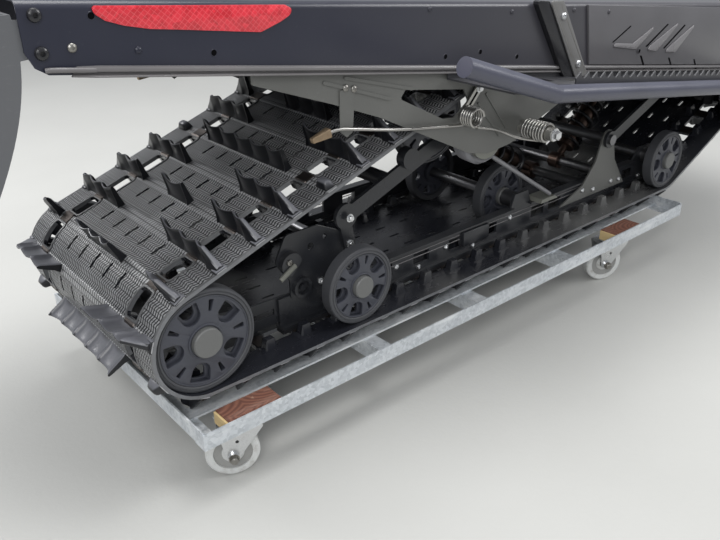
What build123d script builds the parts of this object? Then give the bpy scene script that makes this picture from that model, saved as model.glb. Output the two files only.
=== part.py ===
from build123d import *
import math
import os

# Rear chassis of a tracked snow vehicle, standing on a wheeled dolly: a sheet-metal tunnel with
# running boards, a rubber track loop, the slide-rail suspension inside it and the drive axle.
# Working frame, mm: +X runs forward, +Y to the left, +Z up. The rear axle is at x = z = 0 and the
# middle plane is y = 0. The last lines move everything so that the origin is on the floor.

os.makedirs("parts", exist_ok=True)

# Track
TRACK_HALF = 254.0
PITCHES = 52
FIRST_LUG_X = 59.6
BELT = 6.0
PADDLE_HEIGHT = 44.0
PADDLE_FOOT = 15.0
PADDLE_TOP = 8.0
PADDLE_EDGE = 4.0
OUTER_SLANT = 28.0
INNER_SLANT = 6.0
WINDOW_WIDTH = 34.0
WINDOW_LENGTH = 48.0
LUG_HEIGHT = 22.0
LUG_THICK = 12.0
LUG_ROOM = 7.0
SOFT_GAP = 0.3
SEAT = 0.05

# Wheels inside the loop: name, x, z, radius
REAR = (0.0, 0.0, 89.0)
CARRIER = (604.0, 208.0, 89.0)
DRIVE = (1655.0, 155.0, 94.0)
FRONT = (1344.0, -15.5, 73.5)
BOGIE_X = 316.0
INNER_X = 842.0
SMALL_WHEEL_R = 73.5
WHEEL_WIDTH = 26.0
WHEEL_INSET = 8.0
OUTER_BAND = TRACK_HALF - WHEEL_INSET - WHEEL_WIDTH
INNER_BAND = 98.0
HUB_PROUD = 8.0
SHAFT_R = 12.5
AXLE_R = 15.0

# The row of drive lugs beside the outer wheels
LUG_ROW = OUTER_BAND - LUG_ROOM - LUG_THICK / 2

# Sheet-metal tunnel
TRACK_ROOM = 26.0
TUNNEL_HALF = TRACK_HALF + TRACK_ROOM
TUNNEL_REAR = -190.0
TUNNEL_FRONT = 1800.0
SHEET = 2.5
LIP_REAR_Z = 443.0
LIP_SLOPE = -0.145
DECK_REAR_Z = 523.0
DECK_SLOPE = -0.0985
BEND = 10.0
BUMPER_HOLES = (24.0, 65.0)
FRONT_HOLES = (75.0, 135.0)
SCREW_HOLE_R = 4.2
PLATE = 4.0
ARM_PLATE = 8.0
EYE_WALL = 8.0
HOOK_REACH = 27.0

# Rails, which run inside the row of drive lugs
RAIL_ROOM = 28.0
RAIL_THICK = 6.0
RAIL_OUT = LUG_ROW - RAIL_ROOM
RAIL_IN = RAIL_OUT - RAIL_THICK
RAIL_MIDDLE = RAIL_IN + RAIL_THICK / 2
KICK_THICK = 5.0
RAIL_TOP = -22.0
RAIL_FOOT = -81.0
RAIL_FLANGE = 11.0
RAIL_START = 180.0
FLANGE_START = 360.0

# Running boards
BOARD_TUBE_Y = TUNNEL_HALF + 160.0
BOARD_TUBE_R = 15.0
BOARD_SHEET = 3.0
BOARD_DROP = 12.0
ROLL_DROP = 2.0

# Dolly
TIP_Z = -(REAR[2] + BELT + PADDLE_HEIGHT)
ANGLE_LEG = 30.0
ANGLE_THICK = 3.0
DOLLY_Y = TRACK_HALF + 51.0
INNER_BAR_Y = TRACK_HALF - 24.0
INNER_BAR = (30.0, 4.0)
DOLLY_REAR = -55.0
DOLLY_FRONT = 1345.0
CASTER_Y = DOLLY_Y - 37.0
CASTER_X = (45.0, 1110.0)
CASTER_R = 46.0
CASTER_TRAIL = 30.0
FLOOR_Z = -260.0

RIGHT = -1
LEFT = 1


def lip_z(x):
    return LIP_REAR_Z + LIP_SLOPE * (x - TUNNEL_REAR)


def deck_z(x):
    return DECK_REAR_Z + DECK_SLOPE * (x - TUNNEL_REAR)


def side_plate(outline, y_low, y_high):
    """A plate cut to an outline of (x, z) points, between two y planes."""
    face = Face(Wire.make_polygon([Vector(x, y_low, z) for x, z in outline], close=True))
    return extrude(face, amount=y_high - y_low, dir=(0, 1, 0))


def rounded_plate(outline, radius, y_low, y_high):
    """A side plate whose corners are all rounded."""
    face = Face(Wire.make_polygon([Vector(x, y_low, z) for x, z in outline], close=True))
    return extrude(face.fillet_2d(radius, face.vertices()), amount=y_high - y_low, dir=(0, 1, 0))


def cross_rod(x, z, radius, y_low, y_high):
    """A round rod along Y."""
    middle = (y_low + y_high) / 2
    return Pos(x, middle, z) * Rot(90, 0, 0) * Cylinder(radius, y_high - y_low)


def rod_between(start, end, radius):
    """A round rod from one point to another."""
    run = Vector(*end) - Vector(*start)
    return Solid.make_cylinder(radius, run.length, Plane(origin=start, z_dir=run))


def bar_between(start, end, width, y_low, y_high, eye=0.0):
    """A flat bar in an XZ plane between two (x, z) points, with round eyes at both ends."""
    along = Vector(end[0] - start[0], 0, end[1] - start[1]).normalized()
    side = Vector(-along.Z, 0, along.X) * (width / 2)
    corners = [(start[0] + side.X, start[1] + side.Z), (end[0] + side.X, end[1] + side.Z),
               (end[0] - side.X, end[1] - side.Z), (start[0] - side.X, start[1] - side.Z)]
    body = side_plate(corners, y_low, y_high)
    ends = max(width / 2, eye)
    for x, z in (start, end):
        body = body + cross_rod(x, z, ends, y_low, y_high)
    return body


def both_sides(right_piece):
    """The right piece and its mirror image, as two solids of one node."""
    return [right_piece, mirror(right_piece, about=Plane.XZ)]


nodes = {}


def add(name, *pieces):
    solids = []
    for piece in pieces:
        group = piece if isinstance(piece, (list, tuple)) else [piece]
        for item in group:
            solids.extend(item.solids())
    nodes[name] = solids


# Track path: tangent lines and arcs round the four wheels, clockwise seen from the right
circles = [REAR, CARRIER, DRIVE, FRONT]


def tangent(first, second):
    """The angle and the two contact points of the belt's run from one circle to the next."""
    dx = second[0] - first[0]
    dz = second[1] - first[1]
    distance = math.hypot(dx, dz)
    angle = math.atan2(dz, dx) - math.asin((first[2] - second[2]) / distance)
    normal = (-math.sin(angle), math.cos(angle))
    start = (first[0] + first[2] * normal[0], first[1] + first[2] * normal[1])
    end = (second[0] + second[2] * normal[0], second[1] + second[2] * normal[1])
    return angle, start, end


runs = [tangent(circles[i], circles[(i + 1) % len(circles)]) for i in range(len(circles))]
# Each stretch: length, start point, direction, circle to turn round (None on a straight run)
stretches = []
for i, (angle, start, end) in enumerate(runs):
    stretches.append((math.dist(start, end), start, angle, None))
    circle = circles[(i + 1) % len(circles)]
    turn = (angle - runs[(i + 1) % len(runs)][0]) % (2 * math.pi)
    stretches.append((circle[2] * turn, end, angle, circle))
loop_length = sum(stretch[0] for stretch in stretches)
pitch = loop_length / PITCHES
print("loop length", round(loop_length, 1), "pitch", round(pitch, 3))
# The lug rows are set off along the loop so that one lies at FIRST_LUG_X on the lower run
phase = (loop_length - stretches[-1][0] - FIRST_LUG_X) % pitch


def on_path(distance):
    """The point of the belt's inner face and the direction of travel, at a distance along it."""
    rest = distance % loop_length
    for length, start, angle, circle in stretches:
        if rest <= length:
            if circle is None:
                return start[0] + rest * math.cos(angle), start[1] + rest * math.sin(angle), angle
            now = angle - rest / circle[2]
            return circle[0] - circle[2] * math.sin(now), circle[1] + circle[2] * math.cos(now), now
        rest -= length
    raise ValueError(distance)


def belt_wire(offset):
    """The closed wire of the belt at a distance outside its inner face."""
    edges = []
    for i, (angle, start, end) in enumerate(runs):
        normal = (-math.sin(angle), math.cos(angle))
        begin = Vector(start[0] + offset * normal[0], -TRACK_HALF, start[1] + offset * normal[1])
        finish = Vector(end[0] + offset * normal[0], -TRACK_HALF, end[1] + offset * normal[1])
        edges.append(Edge.make_line(begin, finish))
        circle = circles[(i + 1) % len(circles)]
        turn = (angle - runs[(i + 1) % len(runs)][0]) % (2 * math.pi)
        reach = circle[2] + offset
        middle = angle - turn / 2
        last = angle - turn
        half_way = Vector(circle[0] - reach * math.sin(middle), -TRACK_HALF,
                          circle[1] + reach * math.cos(middle))
        close = Vector(circle[0] - reach * math.sin(last), -TRACK_HALF,
                       circle[1] + reach * math.cos(last))
        edges.append(Edge.make_three_point_arc(finish, half_way, close))
    return Wire(edges)


def placed(piece, distance):
    """A piece made at the origin, X along the belt and Z outward, moved to its place on the loop."""
    x, z, angle = on_path(distance)
    return Pos(x, 0, z) * Rot(0, -math.degrees(angle), 0) * piece


def paddle(y_low, y_high):
    """A rubber paddle across the belt, thinner at its top; an end at the belt's edge slants most."""
    root = BELT - 1.0
    tip = BELT + PADDLE_HEIGHT
    low_slant = OUTER_SLANT if y_low == -PADDLE_END else INNER_SLANT
    high_slant = OUTER_SLANT if y_high == PADDLE_END else INNER_SLANT
    taper = [(-PADDLE_FOOT / 2, root), (PADDLE_FOOT / 2, root), (PADDLE_TOP / 2, tip), (-PADDLE_TOP / 2, tip)]
    front = [(y_low, root), (y_high, root), (y_high - high_slant, tip), (y_low + low_slant, tip)]
    face = Face(Wire.make_polygon([Vector(-PADDLE_FOOT / 2, y, z) for y, z in front], close=True))
    return side_plate(taper, y_low, y_high) & extrude(face, amount=PADDLE_FOOT, dir=(1, 0, 0))


def drive_lug(y):
    """A trapezoid lug on the inner face, which guides the wheels and meets the sprockets."""
    outline = [(-17, 1.0), (17, 1.0), (8, -LUG_HEIGHT), (-8, -LUG_HEIGHT)]
    return side_plate(outline, y - LUG_THICK / 2, y + LUG_THICK / 2)


# Paddles: length of those that start at the belt's edge, and width of those in the middle
SIDE_PADDLE = 155.0
SHORT_PADDLE = 115.0
EDGE_FIN = 50.0
CENTRE_PADDLE = 260.0
MIDDLE_PADDLE = 130.0
SMALL_PADDLE = 70.0
PADDLE_END = TRACK_HALF - PADDLE_EDGE


def edge_pair(length):
    return [(-PADDLE_END, -PADDLE_END + length), (PADDLE_END - length, PADDLE_END)]


def in_middle(width):
    return [(-width / 2, width / 2)]


# Six rows make the pattern, which starts on the lower run, a fifth of the loop behind the first row
paddle_rows = [
    edge_pair(SIDE_PADDLE),
    in_middle(CENTRE_PADDLE),
    edge_pair(SIDE_PADDLE),
    edge_pair(EDGE_FIN) + in_middle(MIDDLE_PADDLE),
    edge_pair(SIDE_PADDLE),
    edge_pair(SHORT_PADDLE) + in_middle(SMALL_PADDLE),
]
pattern_start = PITCHES // 5

belt = extrude(Face(belt_wire(BELT), [belt_wire(0.0)]), amount=2 * TRACK_HALF, dir=(0, 1, 0))
windows = []
for row in range(PITCHES):
    for side in (RIGHT, LEFT):
        cut = Pos(0, side * RAIL_MIDDLE, BELT / 2) * Box(WINDOW_LENGTH, WINDOW_WIDTH, 3 * BELT)
        windows.append(placed(cut, phase + (row + 0.5) * pitch))
belt = belt - windows
lugs = []
for row in range(PITCHES):
    for y_low, y_high in paddle_rows[(row + pattern_start) % PITCHES % len(paddle_rows)]:
        lugs.append(placed(paddle(y_low, y_high), phase + row * pitch))
    for side in (RIGHT, LEFT):
        lugs.append(placed(drive_lug(side * LUG_ROW), phase + row * pitch))
add("track", belt + lugs)


# Idler wheels: rubber-rimmed, with five large openings and five small slots between them
def idler(radius, hub_bore):
    """A wheel about Z with its outer side up, from z = 0 to the wheel's width."""
    rim = radius - 11.0
    web_low = 9.0
    web_high = 15.0
    hub = 0.34 * radius
    profile = [(hub_bore, 0), (hub - 5, 0), (hub, web_low), (rim - 7, web_low), (rim, 0), (radius, 0),
               (radius, WHEEL_WIDTH), (rim, WHEEL_WIDTH), (rim - 7, web_high), (hub, web_high),
               (hub - 3, WHEEL_WIDTH + HUB_PROUD), (hub_bore, WHEEL_WIDTH + HUB_PROUD)]
    face = Face(Wire.make_polygon([Vector(r, 0, z) for r, z in profile], close=True))
    wheel = revolve(face, Axis.Z)
    for i in range(5):
        turn = 72.0 * i
        inner = hub + 6.0
        outer = rim - 9.0
        window = [(inner, -0.20), (outer, -0.30), (outer, 0.30), (inner, 0.20)]
        corners = [Vector(r * math.cos(a), r * math.sin(a), 0) for r, a in window]
        opening = extrude(Face(Wire.make_polygon(corners, close=True)), amount=WHEEL_WIDTH)
        slot = Pos(inner + 0.42 * (outer - inner) + 4, 0, WHEEL_WIDTH / 2)
        slot = slot * Box(0.6 * (outer - inner), 5.0, WHEEL_WIDTH)
        wheel = wheel - Rot(0, 0, turn) * opening
        wheel = wheel - Rot(0, 0, turn + 36.0) * slot
    return wheel


def wheel_pair(x, z, radius, band):
    """Two wheels on one axle line, their inner sides at a distance from the middle plane."""
    shape = idler(radius - SOFT_GAP, SHAFT_R + SEAT)
    return both_sides(Pos(x, -band, z) * Rot(90, 0, 0) * shape)


add("rear_wheels", wheel_pair(REAR[0], REAR[1], REAR[2], OUTER_BAND))
add("bogie_wheels", wheel_pair(BOGIE_X, FRONT[1], SMALL_WHEEL_R, OUTER_BAND))
add("inner_wheels", wheel_pair(INNER_X, FRONT[1], SMALL_WHEEL_R, INNER_BAND))
add("front_wheels", wheel_pair(FRONT[0], FRONT[1], FRONT[2], OUTER_BAND))
add("carrier_wheels", wheel_pair(CARRIER[0], CARRIER[1], CARRIER[2], INNER_BAND))

# Shafts that carry the wheels
shaft_end = OUTER_BAND + WHEEL_WIDTH + HUB_PROUD
collar_r = SHAFT_R + 6.0


def shaft_with_collars(x, z, y_end, collars):
    """A cross shaft with spacer collars, given as (inner, outer) distances on both sides."""
    shaft = cross_rod(x, z, SHAFT_R, -y_end, y_end)
    for inner, outer in collars:
        shaft = shaft + cross_rod(x, z, collar_r, inner, outer)
        shaft = shaft + cross_rod(x, z, collar_r, -outer, -inner)
    return shaft


KICK_IN = RAIL_IN - KICK_THICK
add("rear_axle", shaft_with_collars(REAR[0], REAR[1], shaft_end, [(RAIL_IN, OUTER_BAND)]))
front_shaft = shaft_with_collars(FRONT[0], FRONT[1], shaft_end, [(RAIL_OUT, OUTER_BAND)])
hub_end = INNER_BAND + WHEEL_WIDTH + HUB_PROUD
inner_shaft = shaft_with_collars(INNER_X, FRONT[1], RAIL_IN, [(hub_end, RAIL_IN)])
stub = cross_rod(BOGIE_X, FRONT[1], SHAFT_R, -shaft_end, -RAIL_OUT - PLATE)
stub = stub + cross_rod(BOGIE_X, FRONT[1], collar_r, -OUTER_BAND, -RAIL_OUT - PLATE)
add("wheel_shafts", front_shaft, inner_shaft, both_sides(stub))
upper_end = TUNNEL_HALF - SHEET - PLATE
carrier_shaft = shaft_with_collars(CARRIER[0], CARRIER[1], upper_end,
                                   [(hub_end, RAIL_OUT + PLATE + 6)])

# Slide rails: a web with top and bottom flanges, windows in the web and a nose that turns up
nose = []
for angle in (-90, -72, -54):
    reach = -RAIL_FOOT + FRONT[1]
    nose.append((FRONT[0] + reach * math.cos(math.radians(angle)),
                 FRONT[1] + reach * math.sin(math.radians(angle))))
rail_outline = [(RAIL_START, RAIL_TOP), (RAIL_START, RAIL_FOOT)] + nose + [
    (FRONT[0] + 52, FRONT[1] + 2), (FRONT[0] + 24, FRONT[1] + 24), (FRONT[0] - 24, FRONT[1] + 24),
    (FRONT[0] - 50, RAIL_TOP)]
rail = side_plate(rail_outline, -RAIL_OUT, -RAIL_IN)
middle = RAIL_MIDDLE
flange_length = FRONT[0] - RAIL_START
ear = [(INNER_X - 34, RAIL_TOP), (INNER_X - 22, 8), (INNER_X + 22, 8), (INNER_X + 34, RAIL_TOP)]
rail = rail + side_plate(ear, -RAIL_OUT, -RAIL_IN)
for x_low, x_high in [(FLANGE_START, INNER_X - 28), (INNER_X + 28, FRONT[0] - 50)]:
    top_flange = Pos((x_low + x_high) / 2, -middle, RAIL_TOP - 2)
    rail = rail + top_flange * Box(x_high - x_low, 2 * RAIL_FLANGE, 4)
foot_flange = Pos(RAIL_START + flange_length / 2, -middle, RAIL_FOOT + 2)
rail = rail + foot_flange * Box(flange_length, 2 * RAIL_FLANGE, 4)
# Windows in the web: middle x, length
for x, length in [(420, 60), (530, 44), (640, 60), (740, 44), (905, 46), (968, 46), (1275, 50)]:
    rail = rail - Pos(x, -middle, (RAIL_TOP + RAIL_FOOT) / 2) * Box(length, 20, 26)
shaft_hole = SHAFT_R + SEAT
rail = rail - cross_rod(FRONT[0], FRONT[1], shaft_hole, -RAIL_OUT - 20, -RAIL_IN + 20)
add("rail_right", rail)
add("rail_left", mirror(rail, about=Plane.XZ))

# Slides: the plastic strips under the rails, which run on the track's clips
slide_low = -REAR[2] + SOFT_GAP
slide = [(RAIL_START + 4, RAIL_FOOT), (RAIL_START, slide_low), (FRONT[0], slide_low)]
for angle in (-72, -54):
    slide.append((FRONT[0] + (FRONT[2] - SOFT_GAP) * math.cos(math.radians(angle)),
                  FRONT[1] + (FRONT[2] - SOFT_GAP) * math.sin(math.radians(angle))))
slide = slide + list(reversed(nose))
add("slides", both_sides(side_plate(slide, -middle - RAIL_FLANGE, -middle + RAIL_FLANGE)))

# Articulated rear end of the rails, which carries the rear axle
kick_outline = [(-34, 20), (26, 22), (60, -8), (118, -18), (300, -24), (300, -66), (120, -70),
                (40, -58), (-30, -28)]
kick = side_plate(kick_outline, -RAIL_IN, -KICK_IN)
for x, z in [(150, -44), (232, -46)]:
    kick = kick - Pos(x, -RAIL_IN, z) * Box(46, 30, 12)
kick = kick - cross_rod(REAR[0], REAR[1], shaft_hole, -RAIL_IN - 1, -KICK_IN + 1)
pivot_outline = [(176, 52), (200, 98), (268, 98), (316, 74), (334, 14), (350, -60), (250, -62),
                 (204, -24), (204, 10)]
pivot = rounded_plate(pivot_outline, 12, -RAIL_OUT - PLATE, -RAIL_OUT)
pivot_face = -RAIL_OUT - PLATE
for x, z, r in [(252, 62, 7), (284, 72, 5), (303, 8, 5)]:
    pivot = pivot - cross_rod(x, z, r, pivot_face - 10, -RAIL_OUT + 5)
STOP = (203, 46)
BUSH = (226, -8)
stop = cross_rod(STOP[0], STOP[1], 21, pivot_face - 12, pivot_face)
stop = stop - Pos(STOP[0] + 22, pivot_face - 6, STOP[1] - 22) * Rot(0, 45, 0) * Box(34, 16, 60)
bush = cross_rod(BUSH[0], BUSH[1], 19, pivot_face - 9, pivot_face)
bush = bush - cross_rod(BUSH[0], BUSH[1], 13, pivot_face - 10, pivot_face - 2)
pivot = pivot + stop + bush + cross_rod(BUSH[0], BUSH[1], 6, pivot_face - 8, pivot_face)
add("kick_rails", both_sides(kick))
add("pivot_plates", both_sides(pivot))

# Rear arm, links and carrier shaft brackets
LINK_TOP = (324.0, 102.0)
LINK_FOOT = (336.0, 44.0)
link_in = RAIL_OUT + PLATE
link = bar_between(LINK_FOOT, (LINK_TOP[0], LINK_TOP[1]), 26, -link_in - 6, -link_in)
add("rear_links", both_sides(link))
arm_in = link_in + 6
arm = bar_between(LINK_TOP, (CARRIER[0], CARRIER[1]), 30, -arm_in - ARM_PLATE, -arm_in, 24)
arm = arm - cross_rod(CARRIER[0], CARRIER[1], shaft_hole, -arm_in - 20, -arm_in + 10)
arm = arm + cross_rod(470, 178, 20, -arm_in - ARM_PLATE - 12, -arm_in)
add("rear_arm", both_sides(arm))
rear_cross_tube = cross_rod(430, 141, 14, -arm_in, arm_in)

# Suspension brackets: pressed plates under the tunnel, each with a long window
bracket_outline = [(100, lip_z(100) + 30), (100, 384), (236, 334), (335, 294), (409, 257), (498, 213),
                   (548, 188), (600, 176), (664, 182), (722, 196), (738, 211), (852, 249),
                   (870, lip_z(870) + 30)]
bracket = rounded_plate(bracket_outline, 4, -TUNNEL_HALF + SHEET, -upper_end)
bracket_window = [(376, 317), (387, 330), (527, 308), (540, 285), (506, 262), (477, 265)]
bracket = bracket - rounded_plate(bracket_window, 4, -TUNNEL_HALF, -upper_end + 5)
bracket = bracket - cross_rod(754, 259, 11, -TUNNEL_HALF, -upper_end + 5)
RIB = 5.0
RIB_PROUD = 2.0
bracket_face = -TUNNEL_HALF + SHEET
# Pressed ribs: start and end of each, x and z
pressed_ribs = [((222, 368), (352, 322)), ((262, 369), (400, 330)),
                ((566, 276), (628, 206)), ((586, 290), (648, 216))]
for start, end in pressed_ribs:
    bracket = bracket + bar_between(start, end, RIB, bracket_face - RIB_PROUD, bracket_face)
strap_outline = [(250, 352), (250, 288), (262, 278), (274, 284), (280, 352)]
bracket = bracket + side_plate(strap_outline, bracket_face - PLATE / 2, bracket_face)
add("suspension_bracket_right", bracket)
add("suspension_bracket_left", mirror(bracket, about=Plane.XZ))

# Torsion springs round the carrier shaft, their legs on hooks that stand on the rails
COIL_R = 55.0
COIL_WIRE = 11.0
coil_out = upper_end - 4
coil_in = coil_out - 2 * COIL_WIRE
spring = cross_rod(CARRIER[0], CARRIER[1], COIL_R, -coil_out, -coil_in)
spring = spring - cross_rod(CARRIER[0], CARRIER[1], COIL_R - COIL_WIRE, -coil_out - 1, -coil_in + 1)
turn_gap = cross_rod(CARRIER[0], CARRIER[1], COIL_R + 1, -coil_in - COIL_WIRE - 1, -coil_in - COIL_WIRE + 1)
spring = spring - (turn_gap - cross_rod(CARRIER[0], CARRIER[1], COIL_R - 5, -coil_out, -coil_in))
HOOK = (905.0, -8.0)
leg_start = (CARRIER[0] + 34, -coil_in - COIL_WIRE, CARRIER[1] - 36)
leg_end = (HOOK[0] + 12, -RAIL_OUT - HOOK_REACH + 8, HOOK[1])
spring = spring + rod_between(leg_start, leg_end, COIL_WIRE / 2)
core = cross_rod(CARRIER[0], CARRIER[1], COIL_R - COIL_WIRE, -upper_end, -coil_in)
core = core - cross_rod(CARRIER[0], CARRIER[1], shaft_hole, -upper_end - 1, -coil_in + 1)
add("torsion_springs", both_sides(spring))
hook_low = HOOK[1] - COIL_WIRE / 2
hook_outline = [(880, RAIL_TOP), (884, hook_low), (930, hook_low), (940, RAIL_TOP)]
hook = side_plate(hook_outline, -RAIL_OUT - HOOK_REACH, -middle + RAIL_FLANGE)
add("spring_seats", both_sides(core), both_sides(hook))

# Fins on the rails, the tube between them, the front arm and its shaft
FIN = (1145.0, 70.0)
fin_outline = [(975, -62), (1060, -28), (1104, 22), (1122, 76), (1132, 90), (1145, 94), (1158, 90),
               (1168, 76), (1186, 10), (1240, -62)]
fin_in = middle + RAIL_FLANGE
fin = side_plate(fin_outline, -fin_in - PLATE, -fin_in)
fin = fin - cross_rod(FIN[0], FIN[1], shaft_hole, -fin_in - 10, -fin_in + 5)
add("rail_fins", both_sides(fin))
ARM_MOUNT = (1490.0, 212.0)
fork_in = fin_in + PLATE
fin_tube = cross_rod(FIN[0], FIN[1], SHAFT_R, -fork_in - 14, fork_in + 14)
fork = bar_between(FIN, ARM_MOUNT, 26, -fork_in - ARM_PLATE, -fork_in, SHAFT_R + EYE_WALL)
fork = fork - cross_rod(FIN[0], FIN[1], shaft_hole, -fork_in - 20, -fork_in + 5)
fork = fork - cross_rod(ARM_MOUNT[0], ARM_MOUNT[1], shaft_hole, -fork_in - 20, -fork_in + 5)
add("front_arm", both_sides(fork))
brace_x = (FIN[0] + ARM_MOUNT[0]) / 2
brace_z = (FIN[1] + ARM_MOUNT[1]) / 2
add("arm_cross_tubes", rear_cross_tube, cross_rod(brace_x, brace_z, 12, -fork_in, fork_in))
arm_shaft_end = TUNNEL_HALF - SHEET
front_arm_shaft = cross_rod(ARM_MOUNT[0], ARM_MOUNT[1], SHAFT_R, -arm_shaft_end, arm_shaft_end)
add("arm_shafts", carrier_shaft, fin_tube, front_arm_shaft)

# Cross shafts between the rails, which hold the shock absorbers' feet
REAR_FOOT = (1105.0, -45.0)
FRONT_FOOT = (1215.0, -45.0)
add("cross_shafts", cross_rod(REAR_FOOT[0], REAR_FOOT[1], SHAFT_R, -RAIL_IN, RAIL_IN),
    cross_rod(FRONT_FOOT[0], FRONT_FOOT[1], SHAFT_R, -RAIL_IN, RAIL_IN),
    cross_rod(430, -50, SHAFT_R, -RAIL_IN, RAIL_IN))


def shock(foot, head):
    """A shock absorber between two shafts: eyes, a body tube and a thin rod."""
    eye = SHAFT_R + EYE_WALL
    body = cross_rod(foot[0], foot[1], eye, -14, 14)
    body = body + cross_rod(head[0], head[1], eye, -14, 14)
    start = Vector(foot[0], 0, foot[1])
    run = Vector(head[0] - foot[0], 0, head[1] - foot[1])
    cut = start + run * 0.45
    body = body + rod_between(tuple(start), tuple(start + run), 9)
    body = body + rod_between(tuple(start + run * 0.12), tuple(cut), 24)
    for x, z in (foot, head):
        body = body - cross_rod(x, z, shaft_hole, -20, 20)
    return body


COIL_TURNS = 9


def coil_spring(foot, head):
    """The coil round a shock absorber: a closed sleeve with one ridge for each turn."""
    start = Vector(foot[0], 0, foot[1])
    run = Vector(head[0] - foot[0], 0, head[1] - foot[1])
    low = start + run * 0.16
    step = 0.68 * run.length / COIL_TURNS
    profile = [(24, 0)]
    for i in range(COIL_TURNS):
        profile += [(29, step * i), (35, step * (i + 0.5))]
    profile += [(29, step * COIL_TURNS), (24, step * COIL_TURNS)]
    face = Face(Wire.make_polygon([Vector(r, 0, z) for r, z in profile], close=True))
    return Plane(origin=low, z_dir=run).location * revolve(face, Axis.Z)


rear_head = (CARRIER[0], CARRIER[1])
add("shock_absorbers", shock(REAR_FOOT, rear_head), shock(FRONT_FOOT, ARM_MOUNT))
add("shock_springs", coil_spring(REAR_FOOT, rear_head), coil_spring(FRONT_FOOT, ARM_MOUNT))

# Drive axle and its sprockets
JOURNAL = 48.0
RELIEF = 2.0
AXLE_END = TUNNEL_HALF + RELIEF + JOURNAL
DRIVE_PLATE = 6.0
drive_face = TUNNEL_HALF - SHEET - DRIVE_PLATE
axle = cross_rod(DRIVE[0], DRIVE[1], SHAFT_R - 1, -AXLE_END + 1, AXLE_END - 1)
axle = axle + cross_rod(DRIVE[0], DRIVE[1], AXLE_R, -TUNNEL_HALF, TUNNEL_HALF)
for low, high in [(-AXLE_END, -TUNNEL_HALF - RELIEF), (TUNNEL_HALF + RELIEF, AXLE_END)]:
    axle = axle + cross_rod(DRIVE[0], DRIVE[1], SHAFT_R, low, high)
for low, high in [(-drive_face, 14 - drive_face), (drive_face - 14, drive_face)]:
    axle = axle + cross_rod(DRIVE[0], DRIVE[1], AXLE_R + 6, low, high)
add("drive_axle", axle)
axle_hole = AXLE_R + SEAT
SPROCKET_TEETH = 8


def sprocket():
    """A drive sprocket about Z with square teeth, 20 mm thick."""
    root = DRIVE[2] - 26
    wheel = Cylinder(root, 20)
    for i in range(SPROCKET_TEETH):
        tooth = Pos((root + DRIVE[2] - 1) / 2 - 2, 0, 0) * Box(DRIVE[2] - 1 - root + 4, 16, 20)
        wheel = wheel + Rot(0, 0, i * 360 / SPROCKET_TEETH) * tooth
    for i in range(6):
        wheel = wheel - Rot(0, 0, i * 60) * Pos(root * 0.62, 0, 0) * Cylinder(11, 30)
    return wheel - Cylinder(axle_hole, 30)


toothed = sprocket()
add("drive_sprockets", both_sides(Pos(DRIVE[0], -RAIL_MIDDLE, DRIVE[1]) * Rot(90, 0, 0) * toothed),
    both_sides(Pos(DRIVE[0], -INNER_BAND + 18, DRIVE[1]) * Rot(90, 0, 0) * toothed))

# Tunnel: a long channel open below, its deck and sides bent from one sheet
def tunnel_outline(inset, reach):
    """The side view of the tunnel, moved in by the sheet and lengthened past both ends."""
    rear = TUNNEL_REAR - reach
    front = TUNNEL_FRONT + reach
    drop = 60 if reach else 0
    return [(rear, lip_z(rear) - drop), (front, lip_z(front) - drop),
            (front, deck_z(front) - inset), (rear, deck_z(rear) - inset)]


outer = side_plate(tunnel_outline(0, 0), -TUNNEL_HALF, TUNNEL_HALF)
outer = fillet(outer.edges().filter_by(Axis.Y, reverse=True).sort_by(Axis.Z).filter_by(
    lambda e: abs(e.length - (TUNNEL_FRONT - TUNNEL_REAR) * math.hypot(1, DECK_SLOPE)) < 1.0), BEND)
inner_half = TUNNEL_HALF - SHEET
inner = side_plate(tunnel_outline(SHEET, 20), -inner_half, inner_half)
inner = fillet(inner.edges().filter_by(
    lambda e: abs(e.length - (TUNNEL_FRONT - TUNNEL_REAR + 40) * math.hypot(1, DECK_SLOPE)) < 1.0
    and abs(e.center().Z - deck_z(e.center().X)) < 10), BEND - SHEET)
tunnel = outer - inner
corner = TUNNEL_REAR
rounding = [(corner - 1, lip_z(corner) - 1), (corner + 26, lip_z(corner) - 6), (corner + 8, lip_z(corner) + 6),
            (corner - 1, lip_z(corner) + 26)]
tunnel = tunnel - side_plate(rounding, -TUNNEL_HALF - 1, TUNNEL_HALF + 1)
for x, heights in [(corner + 18, BUMPER_HOLES), (TUNNEL_FRONT - 15, FRONT_HOLES)]:
    for height in heights:
        tunnel = tunnel - cross_rod(x, lip_z(x) + height, SCREW_HOLE_R, -TUNNEL_HALF - 5, TUNNEL_HALF + 5)
tunnel = tunnel - cross_rod(DRIVE[0], DRIVE[1], 90, -TUNNEL_HALF - 5, TUNNEL_HALF + 5)
add("tunnel", tunnel)

# Rolled rails along the tunnel's lower edges
roll_start = corner + 46
roll_end = 1560.0
roll = side_plate([(roll_start, lip_z(roll_start) - ROLL_DROP), (roll_start + 8, lip_z(roll_start) + 10),
                   (roll_end, lip_z(roll_end) + 10), (roll_end, lip_z(roll_end) - ROLL_DROP)],
                  -TUNNEL_HALF - 9, -TUNNEL_HALF)
add("tunnel_rails", both_sides(roll))

# Rear flap: a moulded sheet that bulges, with lips along both sides and tabs inside the tunnel
FLAP = 5.0
FLAP_LIP = 26.0


def flap_profile(offset):
    """The flap's side view as a spline, moved back by an offset."""
    spots = [(corner - 6 - offset, 508), (corner - 8 - offset, 440), (corner - 30 - offset, 370),
             (corner - 86 - offset, 268)]
    return Edge.make_spline([Vector(x, -inner_half, z) for x, z in spots])


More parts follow.
